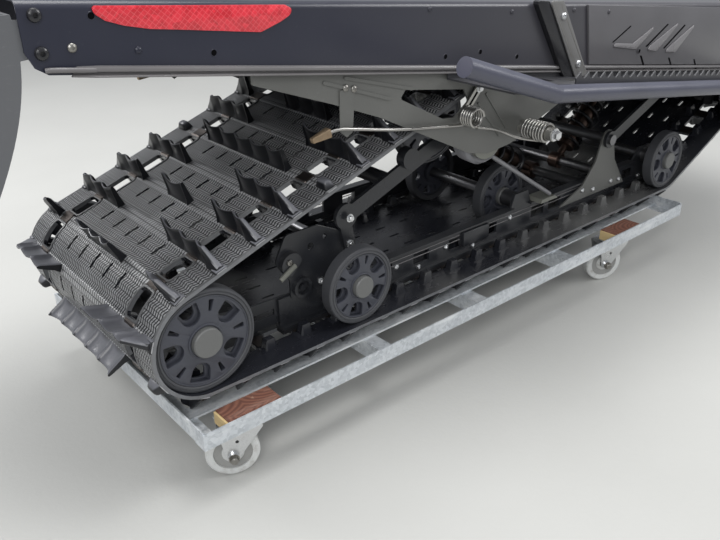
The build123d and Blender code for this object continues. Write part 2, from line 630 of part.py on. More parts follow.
def flap_band(front, back, y_low, y_high):
    """The solid between two offsets of the flap's side view, from one y plane to another."""
    first = flap_profile(front)
    last = flap_profile(back)
    ends = [Edge.make_line(first @ 0, last @ 0), Edge.make_line(first @ 1, last @ 1)]
    face = Face(Wire([first, last] + ends))
    return Pos(0, y_low + inner_half, 0) * extrude(face, amount=y_high - y_low, dir=(0, 1, 0))


flap = flap_band(0, FLAP, -inner_half, inner_half)
for side in (RIGHT, LEFT):
    lip = sorted((side * inner_half, side * (inner_half - FLAP)))
    flap = flap + flap_band(0, FLAP_LIP, *lip)
    tab = side_plate([(corner - 14, 458), (corner + 34, 462), (corner + 34, 496), (corner - 14, 504)], *lip)
    flap = flap + tab
    flap = flap - Pos(corner - 110, side * inner_half, 250) * Rot(45 * side, 0, 0) * Box(160, 60, 60)
add("rear_flap", flap)

# Side reflectors on the tunnel, below its bend
reflector = [(-108, 509), (-100, 497), (-84, 488), (-50, 478), (117, 453), (166, 470), (170, 478), (158, 484)]
add("reflectors", both_sides(side_plate(reflector, -TUNNEL_HALF - 2, -TUNNEL_HALF)))

# Running boards: a perforated deck, an edge tube and a toothed strip inside it
board_start = 480.0
board_end = 1620.0


def board_z(x):
    return lip_z(x) - BOARD_DROP


tube_points = [(346, 397), (566, board_z(566)), (board_end, board_z(board_end))]
half = BOARD_SHEET / 2
deck = side_plate([(board_start, board_z(board_start) - half), (board_end, board_z(board_end) - half),
                   (board_end, board_z(board_end) + half), (board_start, board_z(board_start) + half)],
                  -BOARD_TUBE_Y + BOARD_TUBE_R, -TUNNEL_HALF)
flange = [(board_start, board_z(board_start)), (roll_end, board_z(roll_end)),
          (roll_end, lip_z(roll_end) - ROLL_DROP), (board_start, lip_z(board_start) - ROLL_DROP)]
deck = deck + side_plate(flange, -TUNNEL_HALF - BOARD_SHEET, -TUNNEL_HALF)
for i in range(10):
    for y in (TUNNEL_HALF + 40, TUNNEL_HALF + 100):
        x = board_start + 90 + i * 108
        slot = Pos(x, -y, board_z(x)) * Box(64, 30, 30)
        deck = deck - slot
tube = rod_between((tube_points[0][0], -BOARD_TUBE_Y, tube_points[0][1]),
                   (tube_points[1][0], -BOARD_TUBE_Y, tube_points[1][1]), BOARD_TUBE_R)
tube = tube + rod_between((tube_points[1][0], -BOARD_TUBE_Y, tube_points[1][1]),
                          (tube_points[2][0], -BOARD_TUBE_Y, tube_points[2][1]), BOARD_TUBE_R)
tube = tube + Pos(tube_points[1][0], -BOARD_TUBE_Y, tube_points[1][1]) * Sphere(BOARD_TUBE_R)
add("board_tubes", both_sides(tube))
teeth = []
tooth = 24.0
x = 640.0
while x < board_end - 20:
    teeth.append((x, board_z(x) + 22))
    teeth.append((x + tooth * 0.5, board_z(x) + 31))
    teeth.append((x + tooth * 0.6, board_z(x) + 22))
    x += tooth
strip = teeth + [(teeth[-1][0], board_z(teeth[-1][0])), (640, board_z(640))]
strip_y = -BOARD_TUBE_Y + BOARD_TUBE_R
deck = deck + side_plate(strip, strip_y, strip_y + BOARD_SHEET)
add("running_board_right", deck)
add("running_board_left", mirror(deck, about=Plane.XZ))

# Braces from the tunnel to the boards, and the footwell panels with three creases
brace_foot = 870.0
brace = side_plate([(690, 440), (742, 434), (brace_foot, board_z(brace_foot) + BOARD_SHEET),
                    (brace_foot - 50, board_z(brace_foot - 50) + BOARD_SHEET)],
                   -TUNNEL_HALF - 15, -TUNNEL_HALF - 9)
brace = brace + side_plate([(700, 420), (728, 418), (760, 380), (735, 378)], -TUNNEL_HALF - 9, -TUNNEL_HALF)
add("board_braces", both_sides(brace))
panel_rear = brace_foot + 15
panel_outline = [(panel_rear, lip_z(panel_rear) + 12), (panel_rear - 25, 415),
                 (roll_end, deck_z(roll_end) - 12), (roll_end, lip_z(roll_end) + 12)]
panel = side_plate(panel_outline, -TUNNEL_HALF - 5, -TUNNEL_HALF)
for i in range(3):
    x = panel_rear + 175 + 60 * i
    z = lip_z(x) + 40
    crease = side_plate([(x, z), (x + 30, z + 1), (x + 110, z + 58), (x + 96, z + 60)],
                        -TUNNEL_HALF - 8, -TUNNEL_HALF - 5)
    panel = panel + crease
add("footwell_panels", both_sides(panel))

# Drive plates: the side plates that carry the drive axle's bearings
BEARING_BOLTS_R = 65.0
plate_rear = ARM_MOUNT[0] + SHAFT_R + 5
drive_outline = [(plate_rear, lip_z(plate_rear) + 40), (1790, lip_z(1790) + 60), (1790, 70), (1740, 40),
                 (1580, 40), (plate_rear, 120)]
drive_plate = side_plate(drive_outline, -drive_face - DRIVE_PLATE, -drive_face)
drive_plate = drive_plate - cross_rod(DRIVE[0], DRIVE[1], axle_hole, -TUNNEL_HALF, -drive_face + 1)
for i in range(4):
    a = math.radians(45 + 90 * i)
    bolt_x = DRIVE[0] + BEARING_BOLTS_R * math.cos(a)
    bolt_z = DRIVE[1] + BEARING_BOLTS_R * math.sin(a)
    drive_plate = drive_plate - cross_rod(bolt_x, bolt_z, SCREW_HOLE_R, -TUNNEL_HALF, -drive_face + 1)
add("drive_plates", both_sides(drive_plate))

# Ice scratchers: a sprung wire on each side with a hard tip
wire_y = -TUNNEL_HALF - 8
WIRE_R = 3.0
tip = Pos(207, wire_y, 295) * Rot(0, 10, 0) * Box(34, 12, 13)
wire_points = [(218, 294), (239, 297), (361, 271), (523, 249), (607, 220), (695, 192)]
wire = tip
for first, second in zip(wire_points, wire_points[1:]):
    wire = wire + rod_between((first[0], wire_y, first[1]), (second[0], wire_y, second[1]), WIRE_R)
    wire = wire + Pos(second[0], wire_y, second[1]) * Sphere(WIRE_R)
for x, z, r, y_out in [(523, 265, 17, 46), (695, 209, 18, 70)]:
    coil = cross_rod(x, z, r, -TUNNEL_HALF - y_out, -TUNNEL_HALF - 3)
    wire = wire + (coil - cross_rod(x, z, r - 5, -TUNNEL_HALF - y_out - 1, -TUNNEL_HALF))
strap = bar_between((562, 307), (523, 265), 16, -TUNNEL_HALF - 3, -TUNNEL_HALF)
bolt = cross_rod(695, 209, 13, -TUNNEL_HALF - 74, -TUNNEL_HALF + SHEET)
add("scratchers", both_sides(wire))
add("scratcher_mounts", both_sides(strap), both_sides(bolt))

# Dolly: steel angles under the track, blocks and casters at the corners
bar_top = TIP_Z - SOFT_GAP
cross_top = bar_top - INNER_BAR[1]
flange_top = cross_top - ANGLE_THICK
rail_low = flange_top - ANGLE_THICK
length = DOLLY_FRONT - DOLLY_REAR
mid_x = (DOLLY_FRONT + DOLLY_REAR) / 2
side_rail = Pos(mid_x, -DOLLY_Y + ANGLE_THICK / 2, rail_low + ANGLE_LEG / 2) * Box(
    length, ANGLE_THICK, ANGLE_LEG)
side_rail = side_rail + Pos(mid_x, -DOLLY_Y + ANGLE_LEG / 2, rail_low + ANGLE_THICK / 2) * Box(
    length, ANGLE_LEG, ANGLE_THICK)
add("dolly_side_rails", both_sides(side_rail))
inner_bar = Pos(mid_x, -INNER_BAR_Y + INNER_BAR[0] / 2, cross_top + INNER_BAR[1] / 2) * Box(
    length - 2 * ANGLE_THICK, INNER_BAR[0], INNER_BAR[1])
add("dolly_inner_bars", both_sides(inner_bar))
between = 2 * (DOLLY_Y - ANGLE_THICK)


def cross_angle(x, leg):
    """A cross angle whose flange lies on the side rails' flanges, its leg up at one edge."""
    piece = Pos(x + ANGLE_LEG / 2, 0, flange_top + ANGLE_THICK / 2) * Box(ANGLE_LEG, between, ANGLE_THICK)
    up = Pos(x + leg, 0, flange_top + ANGLE_LEG / 2) * Box(ANGLE_THICK, between, ANGLE_LEG)
    return piece + up


rear_end = cross_angle(DOLLY_REAR, ANGLE_THICK / 2)
front_end = cross_angle(DOLLY_FRONT - ANGLE_LEG, ANGLE_LEG - ANGLE_THICK / 2)
cross_bars = [rear_end, front_end]
for x in (330.0, 600.0, 900.0):
    flat = Pos(x + ANGLE_LEG / 2, 0, flange_top + ANGLE_THICK / 2) * Box(ANGLE_LEG, between, ANGLE_THICK)
    under = Pos(x + ANGLE_THICK / 2, 0, flange_top - ANGLE_LEG / 2) * Box(
        ANGLE_THICK, 2 * (DOLLY_Y - ANGLE_LEG) - 2, ANGLE_LEG)
    cross_bars.append(flat + under)
add("dolly_cross_rails", cross_bars)
blocks = []
plates = []
plate_low = rail_low - 3.0
for x in CASTER_X:
    for side in (RIGHT, LEFT):
        y = side * (DOLLY_Y - ANGLE_THICK - 23)
        blocks.append(Pos(x, y, flange_top + 12) * Box(100, 46, 24))
        plates.append(Pos(x, side * CASTER_Y, rail_low - 1.5) * Box(92, 66, 3)
                      + Pos(x, side * CASTER_Y, plate_low - 2.5) * Cylinder(24, 5))
add("dolly_blocks", blocks)
add("caster_plates", plates)


def caster_fork(side):
    """The swivelling fork, with its wheel behind the swivel axis: crown, legs and axle bolt."""
    crown = Pos(-CASTER_TRAIL / 2, 0, plate_low - 7.1) * Box(CASTER_TRAIL + 44, 44, 4)
    fork = crown
    axle_z = FLOOR_Z + CASTER_R
    crown_low = plate_low - 9.1
    for y in (-20.0, 20.0):
        leg = side_plate([(-CASTER_TRAIL - 12, axle_z), (-CASTER_TRAIL + 12, axle_z), (22, crown_low),
                          (-CASTER_TRAIL - 22, crown_low)], y - 2, y + 2)
        fork = fork + leg + cross_rod(-CASTER_TRAIL, axle_z, 12, y - 2, y + 2)
    fork = fork - cross_rod(-CASTER_TRAIL + 8, axle_z + 30, 3, -23, 23)
    fork = fork + cross_rod(-CASTER_TRAIL, axle_z, 5, -24, 24)
    return fork + cross_rod(-CASTER_TRAIL, axle_z, 9, 22, 27) + cross_rod(-CASTER_TRAIL, axle_z, 9, -27, -22)


def caster_wheel():
    profile = [(5.05, -14), (12, -14), (12, -8), (CASTER_R - 12, -8), (CASTER_R - 12, -12), (CASTER_R - 3, -12),
               (CASTER_R, -8), (CASTER_R, 8), (CASTER_R - 3, 12), (CASTER_R - 12, 12), (CASTER_R - 12, 8),
               (12, 8), (12, 14), (5.05, 14)]
    face = Face(Wire.make_polygon([Vector(r, 0, z) for r, z in profile], close=True))
    return Pos(-CASTER_TRAIL, 0, FLOOR_Z + CASTER_R) * Rot(90, 0, 0) * revolve(face, Axis.Z)


# Casters: name, x, side, and how far the fork is turned about Z
CASTER_TURN = 25.0
caster_places = []
for place, x in zip(("rear", "front"), CASTER_X):
    for word, side in (("right", RIGHT), ("left", LEFT)):
        turn = Pos(x, side * CASTER_Y, 0) * Rot(0, 0, side * CASTER_TURN)
        add("caster_fork_%s_%s" % (place, word), turn * caster_fork(side))
        add("caster_wheel_%s_%s" % (place, word), turn * caster_wheel())
        caster_places.append((place, word, x, side))

# Final place: origin on the floor, under the middle of the bounding box
boxes = [solid.bounding_box() for solids in nodes.values() for solid in solids]
x_low = min(box.min.X for box in boxes)
x_high = max(box.max.X for box in boxes)
shift = Pos(-round((x_low + x_high) / 2), 0, -FLOOR_Z)
print("x from", round(x_low, 1), "to", round(x_high, 1), "y to", max(box.max.Y for box in boxes))
for name, solids in nodes.items():
    moved = [shift * solid for solid in solids]
    shape = moved[0] if len(moved) == 1 else Compound(children=moved)
    export_step(shape, "parts/%s.step" % name)
print(len(nodes), "nodes")
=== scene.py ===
import math
from contextlib import contextmanager

import bmesh
import bpy
from mathutils import Matrix, Vector


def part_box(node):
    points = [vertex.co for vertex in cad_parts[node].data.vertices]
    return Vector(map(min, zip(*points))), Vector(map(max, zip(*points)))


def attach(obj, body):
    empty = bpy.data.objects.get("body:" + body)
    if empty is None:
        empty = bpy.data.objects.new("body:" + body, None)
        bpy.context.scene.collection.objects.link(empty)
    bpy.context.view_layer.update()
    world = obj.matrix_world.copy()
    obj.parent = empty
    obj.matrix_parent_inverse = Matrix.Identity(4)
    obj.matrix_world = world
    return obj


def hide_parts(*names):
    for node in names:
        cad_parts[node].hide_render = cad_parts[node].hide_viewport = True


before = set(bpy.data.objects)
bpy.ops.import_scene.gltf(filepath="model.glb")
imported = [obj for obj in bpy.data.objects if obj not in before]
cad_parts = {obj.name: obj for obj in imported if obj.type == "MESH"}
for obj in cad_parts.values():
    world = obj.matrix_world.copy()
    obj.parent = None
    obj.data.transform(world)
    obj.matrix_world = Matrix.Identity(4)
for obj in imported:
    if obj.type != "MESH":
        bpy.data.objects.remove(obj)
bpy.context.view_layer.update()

# Sizes below are in millimetres, measured from the rear axle's centre: x forward, y left, z up
MM = 0.001
CHASSIS = "chassis"
RIGHT, LEFT = -1, 1
PITCHES = 52
FIRST_ROW_X = 59.6
SOFT_GAP, SPROCKET_GAP = 0.3, 1.0
BELT = 6.0
TRACK_HALF = 254.0
CLIP_Y = 176.0
WINDOW_WIDTH, WINDOW_HALF = 34.0, 24.0
RIM = 4.0
CASTERS = [f"{place}_{word}" for place in ("rear", "front") for word in ("right", "left")]

axle_low, axle_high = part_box("rear_axle")
AXLE = (axle_low + axle_high) / 2
TO_FRAME = Matrix.Translation(AXLE) @ Matrix.Diagonal((MM, MM, MM, 1.0))
MIRROR = Matrix.Diagonal((1.0, -1.0, 1.0, 1.0))
OUTWARD = Matrix.Rotation(math.radians(90), 4, "X")


def node_span(node):
    """A node's lowest and highest corner, in millimetres from the rear axle."""
    low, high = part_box(node)
    return (low - AXLE) / MM, (high - AXLE) / MM


def lip_z(x):
    """The height of the tunnel's lower edge."""
    return 443.0 - 0.145 * (x + 190.0)


def deck_z(x):
    """The height of the tunnel's top."""
    return 523.0 - 0.0985 * (x + 190.0)


# Trees of nodes, written as expressions
def forward(operation):
    return lambda self, *others: self.maths(operation, self, *others)


def reflected(operation):
    return lambda self, other: self.maths(operation, other, self)


class Value:
    """An output socket that takes part in sums, products and comparisons."""

    def __init__(self, tree, socket):
        self.tree, self.socket = tree, socket

    def maths(self, operation, *values):
        return self.tree.node("ShaderNodeMath", dict(enumerate(values)), operation=operation)

    __add__, __radd__ = forward("ADD"), reflected("ADD")
    __sub__, __rsub__ = forward("SUBTRACT"), reflected("SUBTRACT")
    __mul__, __rmul__ = forward("MULTIPLY"), reflected("MULTIPLY")
    __truediv__, __rtruediv__ = forward("DIVIDE"), reflected("DIVIDE")
    __mod__, __gt__ = forward("FLOORED_MODULO"), forward("GREATER_THAN")
    __abs__, sine, larger = forward("ABSOLUTE"), forward("SINE"), forward("MAXIMUM")

    def clamped(self):
        return self.tree.node("ShaderNodeClamp", {"Value": self})

    def step(self, low, high):
        """0 below low and 1 above high, with a smooth rise between them."""
        inputs = {"Value": self, "From Min": low, "From Max": high}
        return self.tree.node("ShaderNodeMapRange", inputs, interpolation_type="SMOOTHSTEP")


class Tree:
    """A node tree that adds each node with its settings first, then the values or links of its sockets."""

    def __init__(self, tree):
        self.tree = tree

    def node(self, kind, inputs=None, output=0, **settings):
        made = self.tree.nodes.new(kind)
        for name, value in settings.items():
            setattr(made, name, value)
        for key, value in (inputs or {}).items():
            self.put(made.inputs[key], value)
        return Value(self, made.outputs[output])

    def put(self, socket, value):
        if isinstance(value, Value):
            self.tree.links.new(value.socket, socket)
        else:
            socket.default_value = value


LOOKS = {}


class Finish(Tree):
    """The nodes of one named material round a Principled shader."""

    def __init__(self, name):
        LOOKS[name] = material = bpy.data.materials.new(name)
        material.use_nodes = True
        super().__init__(material.node_tree)
        self.shader = self.tree.nodes["Principled BSDF"]
        self.place = self.node("ShaderNodeTexCoord", output="Object")

    def noise(self, scale, detail=3.0, roughness=0.5, place=None):
        inputs = {"Vector": place or self.place, "Scale": scale, "Detail": detail, "Roughness": roughness}
        return self.node("ShaderNodeTexNoise", inputs)

    def cells(self, scale, output="Distance", place=None):
        return self.node("ShaderNodeTexVoronoi", {"Vector": place or self.place, "Scale": scale}, output)

    def stretched(self, x, y, z):
        """The place with each axis scaled, for grain and streaks."""
        return self.node("ShaderNodeMapping", {"Vector": self.place, "Scale": (x, y, z)})

    def parts(self, place):
        """The three coordinates of a place."""
        split = self.tree.nodes.new("ShaderNodeSeparateXYZ")
        self.put(split.inputs[0], place)
        return [Value(self, out) for out in split.outputs]

    def facing_up(self):
        """1 where the surface faces up and 0 where it is upright or faces down."""
        return self.parts(self.node("ShaderNodeNewGeometry", output="Normal"))[2].clamped()

    def mix(self, factor, first, second):
        """A colour between two colours."""
        inputs = {0: factor, 6: self.colour(first), 7: self.colour(second)}
        return self.node("ShaderNodeMix", inputs, 2, data_type="RGBA")

    def colour(self, value):
        return value if isinstance(value, Value) else (*value, 1.0)

    def paint(self, colour, roughness, height=None, depth=0.001, **rest):
        """Sets the shader's sockets; the rest are named with _ for each space."""
        sockets = {"Base Color": self.colour(colour), "Roughness": roughness, **rest}
        if height is not None:
            sockets["Normal"] = self.node("ShaderNodeBump", {"Height": height, "Distance": depth, "Strength": 1.0})
        for socket, value in sockets.items():
            self.put(self.shader.inputs[socket.replace("_", " ")], value)


def scaled(tone, factor, lift=0.0):
    """A tone made brighter or darker, each channel 1 at most."""
    return tuple(min(1.0, channel * factor + lift) for channel in tone)


# The belt's path round the four wheel sets, clockwise seen from the right
def wheel_circle(node, clearance):
    low, high = node_span(node)
    return (low.x + high.x) / 2, (low.z + high.z) / 2, (high.z - low.z) / 2 + clearance


def tangent(first, second):
    """The heading of the run from one circle to the next, and its two contact points."""
    dx, dz = second[0] - first[0], second[1] - first[1]
    heading = math.atan2(dz, dx) - math.asin((first[2] - second[2]) / math.hypot(dx, dz))
    out = Vector((-math.sin(heading), math.cos(heading)))
    return heading, Vector(first[:2]) + first[2] * out, Vector(second[:2]) + second[2] * out


circles = [wheel_circle("rear_wheels", SOFT_GAP), wheel_circle("carrier_wheels", SOFT_GAP),
           wheel_circle("drive_sprockets", SPROCKET_GAP), wheel_circle("front_wheels", SOFT_GAP)]
next_circles = circles[1:] + circles[:1]
runs = [tangent(*pair) for pair in zip(circles, next_circles)]
stretches = []
for (heading, start, end), after, circle in zip(runs, runs[1:] + runs[:1], next_circles):
    stretches.append(((end - start).length, start, heading, None))
    stretches.append((circle[2] * ((heading - after[0]) % (2 * math.pi)), end, heading, circle))
LOOP = sum(stretch[0] for stretch in stretches)
PITCH = LOOP / PITCHES
WINDOW_MIDDLE = PITCH / 2
PHASE = (LOOP - stretches[-1][0] - FIRST_ROW_X) % PITCH


def on_belt(distance, height=0.0):
    """A point on the belt, its distance along and height over the inner face."""
    rest = distance % LOOP
    for length, start, heading, circle in stretches:
        if rest <= length:
            if circle is None:
                x, z = start.x + rest * math.cos(heading), start.y + rest * math.sin(heading)
            else:
                heading -= rest / circle[2]
                x, z = circle[0] - circle[2] * math.sin(heading), circle[1] + circle[2] * math.cos(heading)
            return x - height * math.sin(heading), z + height * math.cos(heading)
        rest -= length
    return on_belt(0.0, height)


# Finishes: a function lays out the nodes of the one material it is named after, or of a family
def alone(maker):
    maker(Finish(maker.__name__))
    return maker


def coated(f, tone, rough, dust):
    """Powder coat or paint: a fine orange peel, uneven gloss and a little pale dust on top."""
    cloud, speck = f.noise(7.0, 4.0), f.noise(160.0, 2.0)
    film = f.facing_up() * cloud.step(0.35, 0.75) * dust + (speck > 0.70) * dust * 0.5
    colour = f.mix(film.clamped(), f.mix(cloud, tone, scaled(tone, 1.5)), scaled(tone, 1.0, 0.35))
    f.paint(colour, (rough - 0.06 + cloud * 0.14 + film * 0.6).clamped(), f.noise(900.0, 2.0), 0.00012)


def bare_steel(f, tone, rough, rust, grain=500.0):
    """Turned or plated steel with fine scratches, dull patches and a trace of rust."""
    scratch = f.noise(grain, 2.0, 0.6, f.stretched(1.0, 0.08, 1.0))
    cloud = f.noise(22.0, 5.0, 0.6)
    stain = cloud.step(0.62, 0.80) * rust
    colour = f.mix(stain, f.mix(scratch, scaled(tone, 0.75), tone), (0.16, 0.075, 0.035))
    gloss = (rough + cloud * 0.22 + stain * 0.4 - 0.08).clamped()
    f.paint(colour, gloss, scratch, 0.00008, Metallic=0.95 - stain * 0.8)


def moulded_plastic(f, tone, rough):
    """Moulded plastic with a fine spark-eroded grain and hairline scuffs."""
    grain = f.noise(1100.0, 1.0)
    scuff = f.noise(40.0, 6.0, 0.75, f.stretched(1.0, 1.0, 3.5)).step(0.58, 0.74)
    colour = f.mix((scuff * 0.3).clamped(), tone, scaled(tone, 1.9, 0.03))
    f.paint(colour, (rough + grain * 0.10 + scuff * 0.10).clamped(), grain, 0.00010)


def clouded(f, noise, first, second, rough, gloss, bump, depth):
    """Two tones in soft clouds: smooth rubber on the belt's cut edges, painted paler as a highlight, or a pale floor.
    """
    cloud = f.noise(*noise)
    f.paint(f.mix(cloud, first, second), rough + cloud * gloss, f.noise(bump), depth)


@alone
def tunnel_black(f):
    """Semi-gloss paint on the tunnel's sheet, bluish black at the rear, with a painted reflection that makes it paler
    towards the front.
    """
    # painted reflection: the colour ramps from bluish black at the rear to grey at the front, standing in for the
    # sheen of the semi-gloss side
    along = f.parts(f.place)[0].step(-0.80, 0.25)
    cloud, speck = f.noise(7.0, 4.0), f.noise(160.0, 2.0)
    tone = f.mix(along, (0.012, 0.014, 0.029), (0.060, 0.058, 0.066))
    film = f.facing_up() * cloud.step(0.35, 0.75) * 0.05 + (speck > 0.70) * 0.02
    colour = f.mix(film.clamped(), f.mix(cloud * 0.3, tone, (0.050, 0.051, 0.062)), (0.36, 0.36, 0.38))
    f.paint(colour, 0.25 + cloud * 0.12, f.noise(900.0, 2.0), 0.00010)


@alone
def hole_black(f):
    """Painted shade: near-black standing in for the shade inside small holes, slots and creases."""
    f.paint(f.mix(f.noise(200.0), (0.001, 0.001, 0.0012), (0.004, 0.004, 0.005)), 0.8, Specular_IOR_Level=0.05)


@alone
def galvanised_zinc(f):
    """Hot-dip zinc: flat crystals a few millimetres wide, matt streaks and white bloom."""
    crystal = f.parts(f.cells(170.0, "Color"))[0]
    streak = f.noise(24.0, 6.0, 0.65, f.stretched(0.25, 1.0, 1.6))
    bloom = streak.step(0.45, 0.70)
    colour = f.mix(bloom, f.mix(crystal, (0.46, 0.49, 0.52), (0.64, 0.67, 0.70)), (0.72, 0.74, 0.75))
    colour = f.mix(f.noise(60.0, 4.0).step(0.66, 0.80) * 0.35, colour, (0.40, 0.39, 0.37))
    gloss = (0.40 + crystal * 0.12 + bloom * 0.25).clamped()
    f.paint(colour, gloss, crystal + streak * 0.6, 0.00016, Metallic=0.42 - bloom * 0.25)


# The belt's pattern, in metres: the steps of the zigzag, the knurls and the teeth
ZIGZAG, ZIGZAG_SWING = 0.0190, 0.0105
KNURL, CUT = 0.0066, 0.0064
TOOTH = 0.0078


@alone
def belt_rubber(f):
    """The belt's outer skin: zigzag knurling, a ribbed band on each row, smooth rims round the windows. Its colour
    follows the height: raised knurls and bands are painted pale as highlights, grooves and gaps near-black as painted
    shade.
    """
    along, across, _ = f.parts(f.node("ShaderNodeTexCoord", output="UV"))
    zigzag = abs((along / ZIGZAG) % 1.0 - 0.5) * ZIGZAG_SWING
    stripe = abs(((across + zigzag) / KNURL * math.pi).sine()).step(0.46, 0.74)
    cut = abs((along / CUT * math.pi).sine()).step(0.12, 0.46)
    knurl = stripe * (0.45 + cut * 0.55)
    pitch = PITCH * MM
    from_row = (along / pitch + 0.5) % 1.0 - 0.5
    row = abs(from_row) * pitch
    band = 1.0 - row.step(0.0072, 0.0082)
    tooth = abs((across / TOOTH + (from_row > 0.0) * 0.5) % 1.0 - 0.5).step(0.13, 0.24)
    rib = 0.12 + tooth * row.step(0.0004, 0.0012) * 0.88
    seam = (1.0 - abs(row - pitch / 2).step(0.0003, 0.0009)) * 0.7
    past_end = abs(along - WINDOW_MIDDLE * MM) - WINDOW_HALF * MM
    past_side = abs(abs(across) - CLIP_Y * MM) - WINDOW_WIDTH / 2 * MM
    past = past_end.larger(past_side)
    rim = (1.0 - past.step(RIM * MM - 0.0003, RIM * MM + 0.0004)).larger(abs(across).step(0.2485, 0.2495))
    pattern = (knurl * (1.0 - band) + rib * band) * (1.0 - seam)
    height = pattern * (1.0 - rim) + rim * 0.85
    # painted highlight: the pale tone of lit peaks varies at random, and broad patches brighten it further
    uneven_highlight = f.noise(26.0, 4.0)
    sheen_patch = f.noise(5.0, 3.0).step(0.35, 0.70)
    pale = f.mix(uneven_highlight, (0.24, 0.244, 0.248), (0.50, 0.505, 0.515))
    # painted light and shade: raised parts and bands take the pale highlight tone, low parts near-black shade
    shade = (height * (0.76 + band * 0.66 + sheen_patch * 0.46 - rim * 0.44)).clamped()
    f.paint(f.mix(shade, (0.004, 0.004, 0.005), pale), 0.54 - height * 0.20, height, 0.0014)


@alone
def moulded_rubber(f):
    """The paddles' glossy rubber, with a painted highlight, pale blue-grey, on its upward edges and ribs."""
    flow = f.noise(30.0, 4.0, 0.6)
    scuff = f.noise(95.0, 5.0, 0.7).step(0.60, 0.80)
    # painted highlight: faces that point up are painted pale where they would catch the overhead light
    upward_highlight = f.facing_up().step(0.22, 0.72) * (0.45 + flow * 0.55)
    colour = f.mix((upward_highlight * 0.62 + scuff * 0.08).clamped(), (0.009, 0.0095, 0.012), (0.34, 0.345, 0.38))
    f.paint(colour, (0.26 + flow * 0.10 + scuff * 0.14).clamped(), f.noise(700.0, 2.0), 0.00010)


def flow_marks(f, scuffed):
    """The faint flow marks of moulded rubber, and its scuffs from a threshold up."""
    return f.noise(16.0, 4.0, 0.6, f.stretched(1.0, 3.0, 1.0)), f.noise(75.0, 5.0, 0.7).step(scuffed, 0.78)


@alone
def wheel_tyre(f):
    """Satin rubber with faint flow marks and pale scuffs."""
    flow, scuff = flow_marks(f, 0.60)
    colour = f.mix((scuff * 0.35 + flow * 0.10).clamped(), (0.050, 0.052, 0.058), (0.13, 0.13, 0.135))
    f.paint(colour, (0.46 + flow * 0.14 + scuff * 0.12).clamped(), f.noise(600.0, 2.0), 0.00012)


@alone
def inner_rubber(f):
    """The belt's polished inner face, with broad pale patches of painted sheen standing in for its reflections."""
    # painted reflection: broad pale patches in the base colour
    sheen_patch = f.noise(3.6, 2.0, 0.4).step(0.48, 0.70)
    flow, scuff = flow_marks(f, 0.62)
    colour = f.mix((sheen_patch * 0.75 + scuff * 0.2).clamped(), (0.016, 0.017, 0.022), (0.16, 0.16, 0.155))
    f.paint(colour, (0.20 + flow * 0.12 + scuff * 0.1).clamped(), f.noise(600.0, 2.0), 0.00012)


@alone
def reflective_film(f):
    """Red film with a lattice of small cells under a clear top coat."""
    x, _, z = f.parts(f.place)
    cell, slope = 0.0086, 1.1
    first, second = (abs((place / cell * math.pi).sine()).step(0.08, 0.20) for place in (x + z * slope, x - z * slope))
    line = 1.0 - first * second
    sparkle = f.parts(f.cells(150.0, "Color"))[0]
    colour = f.mix(line * 0.5, f.mix(sparkle, (0.52, 0.006, 0.018), (0.74, 0.02, 0.04)), (0.86, 0.16, 0.18))
    f.paint(colour, (0.30 + sparkle * 0.16).clamped(), 1.0 - line, 0.0002, Coat_Weight=0.6, Coat_Roughness=0.08)


@alone
def stained_wood(f):
    """Old reddish hardwood with knots, end checks and pale bruises."""
    rings = f.cells(16.0, place=f.stretched(0.55, 1.0, 1.0)) + f.noise(9.0, 3.0) * 0.06
    ring = ((rings * 75.0).sine() * 0.5 + 0.5).clamped()
    fibre = f.noise(120.0, 4.0, 0.7, f.stretched(0.12, 1.0, 1.0))
    colour = f.mix(ring * 0.75, (0.235, 0.100, 0.066), (0.085, 0.032, 0.024))
    colour = f.mix(fibre.step(0.45, 0.75) * 0.6, colour, (0.36, 0.22, 0.17))
    colour = f.mix(f.noise(70.0, 5.0, 0.7).step(0.62, 0.76) * 0.6, colour, (0.52, 0.36, 0.26))
    f.paint(colour, (0.55 + fibre * 0.25).clamped(), fibre + ring * 0.3, 0.0006)


@alone
def pale_wood(f):
    """The raw end grain of the dolly's blocks."""
    fibre = f.noise(140.0, 4.0, 0.7, f.stretched(1.0, 0.10, 1.0))
    f.paint(f.mix(fibre, (0.62, 0.44, 0.20), (0.80, 0.62, 0.33)), (0.60 + fibre * 0.2).clamped(), fibre, 0.0004)


@alone
def worn_nylon(f):
    """Pale caster wheels, yellowed and marked by the floor."""
    dirt = f.noise(45.0, 6.0, 0.7).step(0.48, 0.72)
    colour = f.mix(dirt * 0.55, (0.60, 0.61, 0.60), (0.30, 0.28, 0.25))
    f.paint(colour, (0.42 + dirt * 0.3).clamped(), f.noise(260.0), 0.0003)


